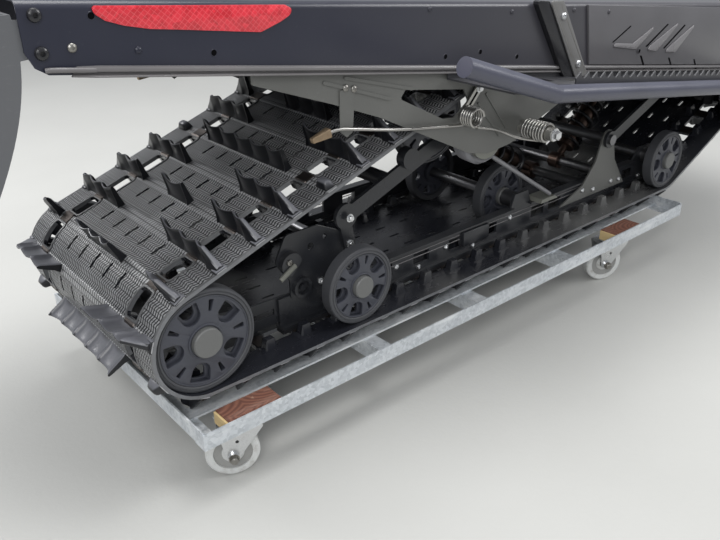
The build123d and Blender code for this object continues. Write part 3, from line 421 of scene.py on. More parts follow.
# The families' members, each with its tone and roughness, then its dust, its rust and grain, or its bump
FAMILIES = {
    clouded: {
        # the belt's cut edges are painted paler than the belt as a highlight along them
        "edge_rubber": ((60.0, 4.0, 0.6), (0.085, 0.087, 0.093), (0.20, 0.205, 0.215), 0.30, 0.14, 300.0, 0.0002),
        "floor_grey": ((1.4, 5.0, 0.6), (0.45, 0.45, 0.43), (0.52, 0.52, 0.50), 0.55, 0.15, 90.0, 0.0004),
    },
    moulded_plastic: {
        "wheel_plastic": ((0.046, 0.049, 0.062), 0.34),
        "cap_grey": ((0.125, 0.127, 0.124), 0.40),
        "slide_plastic": ((0.014, 0.014, 0.016), 0.42),
        "sprocket_plastic": ((0.016, 0.016, 0.018), 0.46),
        "flap_plastic": ((0.105, 0.108, 0.115), 0.30),
        "core_dark": ((0.05, 0.052, 0.055), 0.45),
        "web_grey": ((0.30, 0.30, 0.29), 0.45),
    },
    coated: {
        "frame_black": ((0.016, 0.017, 0.020), 0.28, 0.08),
        "board_black": ((0.030, 0.030, 0.034), 0.32, 0.06),
        "panel_grey": ((0.092, 0.090, 0.096), 0.30, 0.04),
        # the footwell wedges: a paler copy of the panel's paint as a painted highlight
        "ridge_grey": ((0.155, 0.150, 0.155), 0.26, 0.03),
        # rolled rails, their noses and the rails' folded edges: painted paler as highlights along the edges
        "edge_grey": ((0.115, 0.110, 0.112), 0.24, 0.03),
        "bracket_grey": ((0.086, 0.087, 0.082), 0.32, 0.06),
        "brace_grey": ((0.13, 0.128, 0.126), 0.28, 0.04),
        "tube_grey": ((0.046, 0.048, 0.068), 0.30, 0.02),
        "black_screw": ((0.012, 0.012, 0.014), 0.22, 0.06),
        "spring_black": ((0.014, 0.014, 0.016), 0.24, 0.08),
        "spring_grey": ((0.17, 0.17, 0.18), 0.28, 0.05),
        "seat_grey": ((0.13, 0.132, 0.115), 0.36, 0.06),
    },
    bare_steel: {
        "shaft_steel": ((0.26, 0.26, 0.27), 0.34, 0.3),
        "bright_zinc": ((0.74, 0.75, 0.76), 0.26, 0.20),
        "dark_zinc": ((0.30, 0.29, 0.27), 0.32, 0.35),
        "clip_steel": ((0.115, 0.100, 0.092), 0.44, 0.30, 90.0),
        "hard_tip": ((0.36, 0.27, 0.18), 0.42, 0.6, 90.0),
        "shock_bronze": ((0.15, 0.105, 0.085), 0.34, 0.3),
        "scratcher_steel": ((0.44, 0.43, 0.41), 0.28, 0.35),
        "strap_steel": ((0.52, 0.51, 0.48), 0.40, 0.3),
    },
}
for maker, members in FAMILIES.items():
    for name, given in members.items():
        maker(Finish(name), *given)

NODE_LOOKS = {
    "moulded_rubber": "track",
    "shaft_steel": "rear_axle wheel_shafts arm_shafts cross_shafts drive_axle",
    "frame_black": "rail_left rail_right kick_rails pivot_plates rear_arm rear_links front_arm arm_cross_tubes",
    "bracket_grey": "suspension_bracket_left suspension_bracket_right rail_fins",
    "seat_grey": "spring_seats",
    "slide_plastic": "slides",
    "sprocket_plastic": "drive_sprockets",
    "tunnel_black": "tunnel tunnel_rails drive_plates",
    "panel_grey": "footwell_panels",
    "board_black": "running_board_left running_board_right",
    "brace_grey": "board_braces",
    "tube_grey": "board_tubes",
    "flap_plastic": "rear_flap",
    "reflective_film": "reflectors",
    "shock_bronze": "shock_absorbers",
    "spring_black": "torsion_springs shock_springs",
    "scratcher_steel": "scratchers",
    "strap_steel": "scratcher_mounts",
    "galvanised_zinc": "dolly_side_rails dolly_cross_rails dolly_inner_bars",
    "stained_wood": "dolly_blocks",
    "bright_zinc": " ".join(["caster_plates"] + ["caster_fork_" + caster for caster in CASTERS]),
    "worn_nylon": " ".join("caster_wheel_" + caster for caster in CASTERS),
}
for look, nodes in NODE_LOOKS.items():
    for node in nodes.split():
        for material_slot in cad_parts[node].material_slots:
            material_slot.material = LOOKS[look]


# Meshes, built in millimetres
def in_scene(name, data):
    made = bpy.data.objects.new(name, data)
    bpy.context.scene.collection.objects.link(made)
    return made


def from_bmesh(shape, name):
    mesh = bpy.data.meshes.new(name)
    shape.to_mesh(mesh)
    shape.free()
    return in_scene(name, mesh)


@contextmanager
def edited(mesh):
    """The mesh as a bmesh, written back at the end."""
    shape = bmesh.new()
    shape.from_mesh(mesh)
    yield shape
    shape.to_mesh(mesh)
    shape.free()


def as_mesh(source, name):
    """A plain mesh object of a curve or of an object with modifiers, in the source's place."""
    bpy.context.view_layer.update()
    graph = bpy.context.evaluated_depsgraph_get()
    mesh = bpy.data.meshes.new_from_object(source.evaluated_get(graph), depsgraph=graph)
    data = source.data
    bpy.data.objects.remove(source)
    if data.users == 0 and isinstance(data, bpy.types.Curve):
        bpy.data.curves.remove(data)
    return in_scene(name, mesh)


def moved(made, matrix):
    made.data.transform(matrix)
    if matrix.determinant() < 0:
        made.data.flip_normals()
    return made


def shifted(made, x, y, z):
    return moved(made, Matrix.Translation((x, y, z)))


def joined(name, objects):
    """One mesh object of several, which keeps each one's materials."""
    meshes = [made.data for made in objects]
    if len(objects) > 1:
        for made in objects:
            made.select_set(True)
        bpy.context.view_layer.objects.active = objects[0]
        with bpy.context.temp_override(active_object=objects[0], selected_editable_objects=objects):
            bpy.ops.object.join()
        objects[0].select_set(False)
    for data in meshes[1:]:
        if data.users == 0:
            bpy.data.meshes.remove(data)
    objects[0].name = name
    return objects[0]


def smoothed(made, angle):
    made.data.shade_smooth()
    with bpy.context.temp_override(object=made, active_object=made, selected_editable_objects=[made]):
        bpy.ops.object.shade_smooth_by_angle(angle=math.radians(angle))
    return made


def finished(made, look):
    made.data.materials.clear()
    made.data.materials.append(LOOKS[look])
    return made


def piece(name, objects, slot, replaced=(), body=CHASSIS):
    """Joins objects made in millimetres into one piece, in its place on a body."""
    made = joined(name, objects)
    made.data.transform(TO_FRAME)
    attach(made, body)
    if replaced:
        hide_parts(*replaced)


def pair(name, shapes, slot, replaced=()):
    """A piece of shapes made on the right side and their mirror image on the left."""
    right = joined(name, shapes)
    piece(name, [right, moved(in_scene(name, right.data.copy()), MIRROR)], slot, replaced)


def lofted(name, sections, angle, looped=False, open_side=False):
    """A skin over sections with equally many points, capped at both ends unless it closes in a loop.

    An open side leaves out the faces between each section's last point and its first.
    """
    shape = bmesh.new()
    rings = [[shape.verts.new(point) for point in section] for section in sections]
    count = len(rings[0])
    for here, there in zip(rings, rings[1:] + rings[:1] if looped else rings[1:]):
        for j in range(count - 1 if open_side else count):
            k = (j + 1) % count
            shape.faces.new((here[j], here[k], there[k], there[j]))
    if looped:
        bmesh.ops.remove_doubles(shape, verts=shape.verts, dist=0.001)
    else:
        shape.faces.new(rings[0])
        shape.faces.new(list(reversed(rings[-1])))
    bmesh.ops.recalc_face_normals(shape, faces=shape.faces)
    return smoothed(from_bmesh(shape, name), angle)


def polar(radius, turn):
    return radius * math.cos(turn), radius * math.sin(turn)


def circle_steps(steps):
    return [2 * math.pi * i / steps for i in range(steps)]


def revolved(profile, name, steps, angle=30.0):
    """A ring about Z from a closed profile of (radius, z) points."""
    sections = [[(*polar(r, a), z) for r, z in profile] for a in circle_steps(steps)]
    return lofted(name, sections, angle, looped=True)


def rectangle(x_low, x_high, y_low, y_high):
    return [(x_low, y_low), (x_high, y_low), (x_high, y_high), (x_low, y_high)]


def rounded(points, radius, steps):
    """A polygon's points with each corner replaced by an arc."""
    result = []
    for i, point in enumerate(points):
        corner = Vector(point)
        back = Vector(points[i - 1]) - corner
        ahead = Vector(points[(i + 1) % len(points)]) - corner
        half = back.angle(ahead) / 2
        reach = min(radius / math.tan(half), back.length * 0.49, ahead.length * 0.49)
        real = reach * math.tan(half)
        middle = corner + (back.normalized() + ahead.normalized()).normalized() * (real / math.sin(half))
        first = corner + back.normalized() * reach - middle
        last = corner + ahead.normalized() * reach - middle
        for j in range(steps + 1):
            result.append(middle + first.lerp(last, j / steps).normalized() * real)
    return result


def plate(name, outline, holes, thickness, bevel=0.0):
    """A flat plate in XY with holes, its middle at z = 0 and its edges bevelled."""
    curve = bpy.data.curves.new(name, "CURVE")
    curve.dimensions = "2D"
    curve.fill_mode = "BOTH"
    curve.extrude = thickness / 2 - bevel
    curve.bevel_depth = bevel
    curve.bevel_resolution = 1
    curve.offset = -bevel
    for points in [outline] + list(holes):
        line = curve.splines.new("POLY")
        line.points.add(len(points) - 1)
        for place, point in zip(line.points, points):
            place.co = (point[0], point[1], 0.0, 1.0)
        line.use_cyclic_u = True
    made = as_mesh(in_scene(name, curve), name)
    with edited(made.data) as shape:
        bmesh.ops.remove_doubles(shape, verts=shape.verts, dist=0.001)
        bmesh.ops.recalc_face_normals(shape, faces=shape.faces)
    return smoothed(made, 25.0)


def side_plate(name, outline, y, thickness, bevel, look):
    """A plate upright on the right side, from an outline of (x, z) points, its middle at y."""
    made = plate(name, outline, [], thickness, bevel)
    return finished(moved(made, Matrix.Translation((0, y, 0)) @ OUTWARD), look)


def wire(name, points, radius, look, smooth=True):
    """A round wire along points, smooth or as straight runs."""
    curve = bpy.data.curves.new(name, "CURVE")
    curve.dimensions = "3D"
    curve.bevel_depth = radius
    curve.bevel_resolution = 3
    curve.use_fill_caps = True
    line = curve.splines.new("NURBS" if smooth else "POLY")
    line.points.add(len(points) - 1)
    for place, point in zip(line.points, points):
        place.co = (*point, 1.0)
    if smooth:
        line.order_u = 3
        line.use_endpoint_u = True
        line.resolution_u = 4
    return finished(smoothed(as_mesh(in_scene(name, curve), name), 50.0), look)


def bevelled(name, put, bevel, angle=50.0):
    """A cube with each corner moved by a function of its halves (-0.5 or 0.5), and its edges rounded."""
    shape = bmesh.new()
    bmesh.ops.create_cube(shape, size=1.0)
    for vertex in shape.verts:
        vertex.co = put(*vertex.co)
    bmesh.ops.bevel(shape, geom=list(shape.edges), offset=bevel, segments=2, affect="EDGES", profile=0.5)
    return smoothed(from_bmesh(shape, name), angle)


def bevelled_box(low, high, bevel, top=1.0):
    """A box between two corners with rounded edges, its top narrowed by a factor."""
    low, high = Vector(low), Vector(high)
    size = high - low

    def put(x, y, z):
        narrow = top if z > 0 else 1.0
        return (low + high) / 2 + Vector((x * size.x * narrow, y * size.y * narrow, z * size.z))

    return bevelled("box", put, bevel)


def bar(start, end, width, y_low, y_high):
    """A bar with rounded edges between two (x, z) points on the right side."""
    run = Vector(end) - Vector(start)
    bevel = min(1.0, (y_high - y_low) / 3)
    made = bevelled_box((-run.length / 2, y_low, -width / 2), (run.length / 2, y_high, width / 2), bevel)
    middle = (Vector(start) + Vector(end)) / 2
    turn = Matrix.Rotation(-math.atan2(run.y, run.x), 4, "Y")
    return moved(made, Matrix.Translation((middle.x, 0, middle.y)) @ turn)


# Geometry Nodes: a tree with named inputs, and an object made from it
def geometry_tree(name, sockets):
    """A new tree with a Geometry input and output, the named inputs and a Finish."""
    group = bpy.data.node_groups.new(name, "GeometryNodeTree")
    group.interface.new_socket("Geometry", in_out="INPUT", socket_type="NodeSocketGeometry")
    group.interface.new_socket("Geometry", in_out="OUTPUT", socket_type="NodeSocketGeometry")
    for socket, kind in [*sockets, ("Finish", "Material")]:
        group.interface.new_socket(socket, in_out="INPUT", socket_type="NodeSocket" + kind)
    tree = Tree(group)
    entry = group.nodes.new("NodeGroupInput")
    return tree, {out.name: Value(tree, out) for out in entry.outputs if out.name}


def closed_tree(tree, given, result):
    """Ends a tree in Realize Instances and Set Material."""
    real = tree.node("GeometryNodeRealizeInstances", {"Geometry": result})
    final = tree.node("GeometryNodeSetMaterial", {"Geometry": real, "Material": given["Finish"]})
    tree.put(tree.tree.nodes.new("NodeGroupOutput").inputs[0], final)
    return tree.tree


def from_tree(name, group, base, **values):
    """Runs a tree on a base object and returns the result as a plain mesh."""
    modifier = base.modifiers.new("shape", "NODES")
    modifier.node_group = group
    sockets = {item.name: item.identifier for item in group.interface.items_tree
               if item.in_out == "INPUT"}
    for socket, value in values.items():
        modifier[sockets[socket]] = value
    return as_mesh(base, name)


def instances(tree, given, points, turn, **rest):
    """The named shape on each point."""
    shape = tree.node("GeometryNodeObjectInfo", {"Object": given["Shape"]}, "Geometry", transform_space="ORIGINAL")
    inputs = {"Points": points, "Instance": shape, "Rotation": turn, **rest}
    return closed_tree(tree, given, tree.node("GeometryNodeInstanceOnPoints", inputs))


def rows_tree():
    """Copies a shape at even steps along a closed line, its Z outward and its X along the line."""
    tree, given = geometry_tree("rows_along_loop", [("Shape", "Object"), ("Count", "Int"), ("Start", "Int"),
                                                    ("Every", "Int"), ("First", "Int")])
    line = tree.node("GeometryNodeMeshToCurve", {"Mesh": given["Geometry"]})
    even = tree.node("GeometryNodeResampleCurve", {"Curve": line, "Count": given["Count"]})
    row = (tree.node("GeometryNodeInputIndex") + given["Start"]) % given["Count"] % given["Every"]
    wanted = tree.node("FunctionNodeCompare", {2: row, 3: given["First"]}, data_type="INT", operation="EQUAL")
    ahead = tree.node("GeometryNodeInputTangent")
    out = tree.node("ShaderNodeVectorMath", {0: ahead, 1: (0.0, 1.0, 0.0)}, operation="CROSS_PRODUCT")
    turn = tree.node("FunctionNodeAxesToRotation", {"Primary Axis": out, "Secondary Axis": ahead},
                     primary_axis="Z", secondary_axis="X")
    return instances(tree, given, even, turn, Selection=wanted)


def places_tree():
    """Copies a shape to each vertex, its Z along the vertex's direction, at the size named."""
    tree, given = geometry_tree("fasteners_on_points", [("Shape", "Object"), ("Size", "Float")])
    facing = tree.node("GeometryNodeInputNamedAttribute", {"Name": "facing"}, data_type="FLOAT_VECTOR")
    turn = tree.node("FunctionNodeAlignRotationToVector", {"Vector": facing}, axis="Z")
    points = tree.node("GeometryNodeMeshToPoints", {"Mesh": given["Geometry"]})
    return instances(tree, given, points, turn, Scale=given["Size"])


def coil_tree(square):
    """A coil about Z: its wire swept along a helix."""
    tree, given = geometry_tree("coil_square" if square else "coil_round", [
        ("Turns", "Float"), ("Radius", "Float"), ("Length", "Float"), ("Wire", "Float"), ("Steps", "Int")])
    helix = tree.node("GeometryNodeCurveSpiral", {
        "Resolution": given["Steps"], "Rotations": given["Turns"], "Start Radius": given["Radius"],
        "End Radius": given["Radius"], "Height": given["Length"]})
    if square:
        section = tree.node("GeometryNodeCurvePrimitiveQuadrilateral",
                            {"Width": given["Wire"], "Height": given["Wire"]})
    else:
        section = tree.node("GeometryNodeCurvePrimitiveCircle",
                            {"Resolution": 10, "Radius": given["Wire"] * 0.5})
    swept = tree.node("GeometryNodeCurveToMesh", {"Curve": helix, "Profile Curve": section, "Fill Caps": True})
    return closed_tree(tree, given, swept)


ROWS = rows_tree()
PLACES = places_tree()
COILS = {False: coil_tree(False), True: coil_tree(True)}
STEPS_A_TURN = 28


def coil(name, turns, radius, length, wire_size, look, square=False):
    """A coil about Z from z = 0 up to its length."""
    seed = in_scene(name, bpy.data.meshes.new(name))
    made = from_tree(name, COILS[square], seed, Turns=float(turns), Radius=float(radius), Length=float(length),
                     Wire=float(wire_size), Steps=STEPS_A_TURN, Finish=LOOKS[look])
    return smoothed(made, 40.0)


def fastened(name, shape, spots, look, size=1.0):
    """Copies of a fastener at (point, direction) spots."""
    mesh = bpy.data.meshes.new(name)
    mesh.from_pydata([point for point, _ in spots], [], [])
    facing = mesh.attributes.new("facing", "FLOAT_VECTOR", "POINT")
    for item, (_, direction) in zip(facing.data, spots):
        item.vector = direction
    return from_tree(name, PLACES, in_scene(name, mesh), Shape=shape, Size=size, Finish=LOOKS[look])


# Track belt: one flat pitch with its windows and slits, wrapped round the loop
SLIT_ROWS = (-98.0, -49.0, 0.0, 49.0, 98.0)
SLIT_ENDS = (33.0, 62.0)
SLIT_HALF = 3.0
BENDS_A_PITCH = 6
OUTSIDE, ELSEWHERE, CUT_EDGE = 0, 1, 2


def window_box(side, margin=0.0):
    """The corners of a window in one pitch, or of the rim round it."""
    reach, half = WINDOW_HALF + margin, WINDOW_WIDTH / 2 + margin
    return rectangle(WINDOW_MIDDLE - reach, WINDOW_MIDDLE + reach, side * CLIP_Y - half, side * CLIP_Y + half)


def flat_pitch():
    """One pitch of the belt, flat, with a raised rim round each window."""
    windows = [rounded(window_box(side), 6.0, 3) for side in (RIGHT, LEFT)]
    slits = [rounded(rectangle(*SLIT_ENDS, row - SLIT_HALF, row + SLIT_HALF), SLIT_HALF * 0.95, 2)
             for row in SLIT_ROWS]
    parts = [plate("belt_pitch", rectangle(0, PITCH, -TRACK_HALF, TRACK_HALF), windows + slits, BELT)]
    for side, window in zip((RIGHT, LEFT), windows):
        rim = plate("rim", rounded(window_box(side, RIM), 8.0, 3), [window], 2.4, 0.5)
        parts.append(shifted(rim, 0, 0, BELT / 2 + 0.6))
    return joined("belt_pitch", parts)


def skin_kind(corners):
    """Which rubber a face has: the outer skin, a cut edge at the belt's side or in a window, or elsewhere."""
    if min(corner.z for corner in corners) > BELT / 2 - 0.65:
        return OUTSIDE
    across = [corner.y for corner in corners]
    upright = max(across) - min(across) < 0.01
    return CUT_EDGE if upright and abs(across[0]) > CLIP_Y - WINDOW_WIDTH / 2 - 1.0 else ELSEWHERE


def belt_map(mesh, places):
    """A UV map in metres along one pitch and across the belt, from each vertex's place in millimetres."""
    layer = mesh.uv_layers.new(name="belt_map")
    for loop in mesh.loops:
        along, across = places[loop.vertex_index]
        layer.data[loop.index].uv = (along * MM, across * MM)


def wrapped_belt():
    """The flat pitch bisected so that it bends, repeated and laid round the loop."""
    flat = flat_pitch()
    with edited(flat.data) as shape:
        for i in range(1, BENDS_A_PITCH):
            everything = list(shape.verts) + list(shape.edges) + list(shape.faces)
            bmesh.ops.bisect_plane(shape, geom=everything, plane_co=(PITCH * i / BENDS_A_PITCH, 0, 0),
                                   plane_no=(1, 0, 0), dist=0.001)
        ends = [face for face in shape.faces if abs(face.normal.x) > 0.99
                and min(abs(face.calc_center_median().x), abs(face.calc_center_median().x - PITCH)) < 0.01]
        bmesh.ops.delete(shape, geom=ends, context="FACES")
    verts = [vertex.co.copy() for vertex in flat.data.vertices]
    faces = [tuple(polygon.vertices) for polygon in flat.data.polygons]
    kinds = [skin_kind([verts[i] for i in face]) for face in faces]
    bpy.data.objects.remove(flat)
    all_verts, all_faces = [], []
    for row in range(PITCHES):
        base = len(all_verts)
        for co in verts:
            x, z = on_belt(PHASE + row * PITCH + co.x, co.z + BELT / 2)
            all_verts.append((x, co.y, z))
        all_faces += [tuple(base + i for i in face) for face in faces]
    mesh = bpy.data.meshes.new("belt")
    mesh.from_pydata(all_verts, [], all_faces)
    belt_map(mesh, [(co.x, co.y) for co in verts] * PITCHES)
    for look in ("belt_rubber", "inner_rubber", "edge_rubber"):
        mesh.materials.append(LOOKS[look])
    for i, polygon in enumerate(mesh.polygons):
        polygon.material_index = kinds[i % len(kinds)]
    with edited(mesh) as shape:
        bmesh.ops.remove_doubles(shape, verts=shape.verts, dist=0.02)
    return smoothed(in_scene("belt", mesh), 40.0)


# Paddles: thin walls of cups with a rib at each cusp, slanted at the belt's edge and horned inside
PADDLE_HEIGHT = 44.0
PADDLE_END = 250.0
OUTER_SLANT = 28.0
CUP, CUP_DEPTH = 50.0, 6.4
RIB_AT, RIB_DEPTH = 3.4, 3.4
FOOT = 7.0
LOW_END = 7.0
SUNK = BELT - 0.6


def paddle_section(y, y_low, y_high, cup):
    """The paddle's outline across its wall at one place: points up one face and down the other."""
    share = max(0.0, (y - y_low) / cup % 1.0)
    wave = math.sin(math.pi * share)
    from_cusp = min(share, 1.0 - share) * cup
    rib = math.exp(-((from_cusp - RIB_AT) / 1.8) ** 2)
    rise, slant, horn = 1.0, 0.0, 0.0
    for end, to_end in ((y_low, y - y_low), (y_high, y_high - y)):
        if abs(end) == PADDLE_END:
            rise = min(rise, to_end / OUTER_SLANT)
            slant = max(slant, 1.0 - max(0.0, to_end - OUTER_SLANT) / 6.0)
        else:
            horn = max(horn, math.exp(-to_end / 14.0))
            slant = max(slant, 0.5 * (1.0 - to_end / 5.0))
    full = PADDLE_HEIGHT - 6.0 + 6.0 * horn - 1.8 * wave * (1.0 - horn)
    height = BELT + LOW_END + (full - LOW_END) * rise
    middle = CUP_DEPTH * (0.45 - wave) * (1.0 - 0.9 * slant) * rise
    thin, thick = 1.4 + 1.7 * slant, 1.9 + 4.4 * slant
    tall = height - BELT
    levels = [(FOOT + 3.0 * slant, SUNK), (thick + 2.6, BELT + 0.10 * tall), (thick + 0.8, BELT + 0.28 * tall),
              (thick * 0.80, height - 0.16 * tall), (thin, height - 1.2), (thin * 0.5, height)]
    bulge = [0.0, 0.25, 0.7, 1.0, 1.0, 1.0]
    ridge = [0.3, 0.9, 1.0, 0.9, 0.4, 0.0]
    back = [(middle * part - width, y, z) for part, (width, z) in zip(bulge, levels)]
    front = [(middle * part + width + RIB_DEPTH * rib * rise * proud, y, z)
             for part, proud, (width, z) in zip(bulge, ridge, levels)]
    return back + front[::-1]


def paddle(y_low, y_high):
    """One paddle across the belt: sections from end to end, open only underneath, inside the belt."""
    cups = max(1, round((y_high - y_low) / CUP))
    cup = (y_high - y_low) / cups
    near_cusp = [0.0, 1.7, RIB_AT, 5.2, 7.6, 11.5, 16.0, 20.5]
    spots = {y_low + cup * i + side * step for i in range(cups + 1) for side in (-1, 1) for step in near_cusp}
    spots |= {y_low + cup * (i + 0.5) for i in range(cups)}
    for end in (y_low, y_high):
        if abs(end) == PADDLE_END:
            spots.add(math.copysign(PADDLE_END - OUTER_SLANT, end))
    sections = [paddle_section(y, y_low, y_high, cup) for y in sorted(spots) if y_low <= y <= y_high]
    return lofted("paddle", sections, 40.0, open_side=True)


def at_edge(side, inner, outer, half, rise, bevel, top):
    """A low block on the belt, near its edge."""
    low, high = sorted((side * inner, side * outer))
    return bevelled_box((-half, low, SUNK), (half, high, BELT + rise), bevel, top)


def knob(side):
    """A low rounded knob at the belt's edge."""
    return at_edge(side, 216.0, PADDLE_END, 11.0, 15.0, 4.0, 0.6)


def foot_pad(side):
    """The raised pad where a paddle's outer end meets the belt's edge."""
    return at_edge(side, 236.0, TRACK_HALF - 0.4, 12.0, 3.6, 1.2, 0.8)


LUG_ROWS = (144.0, 207.0)
LUG_HALF, LUG_FOOT = 6.5, 3.0


def inner_lug(y):
    """A drive lug on the belt's inner face: a wedge with a wide low foot."""
    outline = [(-19, 0.6), (-12, -4), (-8, -22), (8, -22), (12, -4), (19, 0.6)]
    foot = [(x, max(z, -3.0)) for x, z in outline]
    far = LUG_HALF + LUG_FOOT
    sections = [[(x, y + across, z) for x, z in points]
                for across, points in ((-far, foot), (-LUG_HALF, outline), (LUG_HALF, outline), (far, foot))]
    return lofted("inner_lug", sections, 30.0)


BAND_HALF, BAND_SLOPE = 8.2, 1.5
BAND_STRETCH = 0.75


def rod_band():
    """The raised ribbed band over the rod of each row."""
    wide = BAND_HALF + BAND_SLOPE
    outline = [(-wide, BELT - 0.3), (-BAND_HALF, BELT + 1.1), (BAND_HALF, BELT + 1.1), (wide, BELT - 0.3)]
    band = lofted("rod_band", [[(x, y, z) for x, z in outline] for y in (-TRACK_HALF, TRACK_HALF)], 20.0)
    belt_map(band.data, [(vertex.co.x * BAND_STRETCH, vertex.co.y) for vertex in band.data.vertices])
    return band


CLIP_HALF = 16.0


def clip(side):
    """A folded steel clip round the rod, between two windows, with a ridge along each edge."""
    outline = [(-12.5, -1.2), (-12.5, BELT + 1.4), (-9.0, BELT + 3.4), (-4.0, BELT + 2.4), (4.0, BELT + 2.4),
               (9.0, BELT + 3.4), (12.5, BELT + 1.4), (12.5, -1.2)]
    sections = []
    for y, shrink in ((-CLIP_HALF, 1.4), (2 - CLIP_HALF, 0.0), (CLIP_HALF - 2, 0.0), (CLIP_HALF, 1.4)):
        sections.append([(x * (1 - shrink / 14), side * CLIP_Y + y, z - (shrink if z > 0 else 0))
                         for x, z in outline])
    return lofted("clip", sections, 25.0)


LOOP_POINTS = 480
PATTERN_START = PITCHES // 5
# Paddle spans over six rows of the belt: low and high distance across it
OUTER_PAIR = [(-PADDLE_END, -95), (95, PADDLE_END)]
PADDLE_ROWS = [
    OUTER_PAIR,
    [(-130, 130)],
    OUTER_PAIR,
    [(-PADDLE_END, -200), (-65, 65), (200, PADDLE_END)],
    OUTER_PAIR,
    [(-PADDLE_END, -135), (-35, 35), (135, PADDLE_END)],
]


def along_loop(name, shape, look, every=1, first=0):
    """Copies of a shape on the belt's rows, along a closed chain of edges that starts at the first row."""
    points = [on_belt(PHASE + LOOP * i / LOOP_POINTS) for i in range(LOOP_POINTS)]
    mesh = bpy.data.meshes.new("loop_line")
    chain = [(i, (i + 1) % LOOP_POINTS) for i in range(LOOP_POINTS)]
    mesh.from_pydata([(x, 0.0, z) for x, z in points], chain, [])
    made = from_tree(name, ROWS, in_scene("loop_line", mesh), Shape=shape, Count=PITCHES, Start=PATTERN_START,
                     Every=every, First=first, Finish=LOOKS[look])
    bpy.data.objects.remove(shape)
    return made


def track():
    bands = along_loop("bands", rod_band(), "belt_rubber")
    piece("track_belt", [wrapped_belt(), bands], "track_rubber", ["track"])
    for row, spans in enumerate(PADDLE_ROWS):
        shapes = [paddle(low, high) for low, high in spans]
        shapes += [(knob if len(spans) == 1 else foot_pad)(side) for side in (RIGHT, LEFT)]
        made = along_loop("paddles", joined("row", shapes), "moulded_rubber", len(PADDLE_ROWS), row)
        piece(f"track_paddles_{row + 1}", [made], "track_rubber")
    lugs = [inner_lug(side * row) for side in (RIGHT, LEFT) for row in LUG_ROWS]
    piece("track_lugs", [along_loop("lugs", joined("lugs", lugs), "inner_rubber")], "track_rubber")
    clips = joined("clips", [clip(RIGHT), clip(LEFT)])
    piece("track_clips", [along_loop("clips", clips, "clip_steel")], "shaft_steel")


# Wheels: a web with keystone windows and slots between them, a tyre and a hub cap
WHEEL_WIDTH = 26.0
HUB_PROUD = 8.0
SPOKES = 5
WINDOW_TURN = math.radians(-33.0)
TYRES = {"rear_wheels": 11.5, "bogie_wheels": 12.5, "inner_wheels": 12.5, "front_wheels": 12.5,
         "carrier_wheels": 11.5}


def keystone(turn, low, bend, high, half, radius):
    """A window's outline in parts of the radius: round towards the hub, straight towards the rim."""
    ahead = Vector((math.cos(turn), math.sin(turn)))
    across = Vector((-ahead.y, ahead.x))
    reach = bend - low
    arc = [math.pi / 2 - math.pi * i / 10 for i in range(11)]
    spots = [(bend - reach * math.cos(a), -reach * 1.05 * math.sin(a)) for a in arc]
    spots += [(high - 0.02, half), (high, half - 0.02), (high + 0.012, 0.0), (high, 0.02 - half),
              (high - 0.02, -half)]
    return [(ahead * r + across * s) * radius for r, s in spots]


def wheel(radius, tyre):
    """An idler wheel about Z, its outer face up, from z = 0 to the wheel's width."""
    rim, hub, cap_r = radius - tyre, 0.335 * radius, 0.285 * radius
    side, cap_top = WHEEL_WIDTH, WHEEL_WIDTH + HUB_PROUD + 0.5
    groove = (rim + radius) / 2
    ring = revolved([(rim, 0), (radius - 1.6, 0), (radius, 1.6), (radius, side - 3.0), (radius - 1.4, side - 0.9),
                     (groove + 1.2, side), (groove + 0.5, side - 1.2), (groove - 0.5, side - 1.2),
                     (groove - 1.2, side), (rim + 2.0, side), (rim + 1.0, side - 1.0), (rim + 0.8, side - 3.4),
                     (rim, side - 3.8)], "tyre", 96)
    windows, slots, deep = [], [], []
    reach = min(0.785, rim / radius - 0.045)
    for i in range(SPOKES):
        turn = 2 * math.pi * i / SPOKES
        windows.append(keystone(turn, 0.425, 0.60, reach, 0.205, radius))
        deep.append(keystone(turn, 0.50, 0.62, reach - 0.03, 0.150, radius))
        mid = turn + math.pi / SPOKES
        spots = [(0.57, -0.046), (reach, -0.062), (reach, 0.062), (0.57, 0.046)]
        slots.append(rounded([polar(r * radius, mid + a) for r, a in spots], 1.2, 2))
    webs = []
    for name, edge, holes, thickness, bevel, depth in (("web", rim, windows, 7.0, 0.5, 6.0),
                                                       ("web_back", rim, deep, 5.0, 0.5, 15.0),
                                                       ("window_walls", rim - 0.5, windows, 8.0, 0.0, 11.0)):
        disc = [polar(edge, a) for a in circle_steps(96)]
        webs.append(shifted(plate(name, disc, holes + slots, thickness, bevel), 0, 0, side - depth))
    lip = revolved([(rim - 2.2, side - 2.6), (rim, side - 2.6), (rim, side - 1.4), (rim - 1.6, side - 1.4)], "lip", 96)
    collar = revolved([(cap_r + 1.4, side - 3), (hub + 1.0, side - 3), (hub + 0.4, side - 0.6), (hub - 0.6, side),
                       (cap_r + 2.2, side), (cap_r + 1.4, side - 0.8)], "collar", 64)
    barrel = revolved(rectangle(13.0, hub, 0, side - 2), "barrel", 48)
    cap = revolved([(0.0, side - 3), (cap_r, side - 3), (cap_r, cap_top - 2.0), (cap_r - 1.8, cap_top),
                    (0.0, cap_top)], "cap", 64)
    plastic = [finished(made, "wheel_plastic") for made in (*webs, lip, collar, barrel)]
    return [finished(ring, "wheel_tyre"), *plastic, finished(cap, "cap_grey")]


def wheels():
    for name, tyre in TYRES.items():
        low, high = node_span(name)
        centre = (low + high) / 2
        inner_y = low.y + WHEEL_WIDTH + HUB_PROUD
        place = Matrix.Translation((centre.x, inner_y, centre.z)) @ OUTWARD @ Matrix.Rotation(WINDOW_TURN, 4, "Z")
        shapes = [moved(made, place) for made in wheel((high.z - low.z) / 2, tyre)]
        pair(name + "_shown", shapes, "wheel_black", [name])


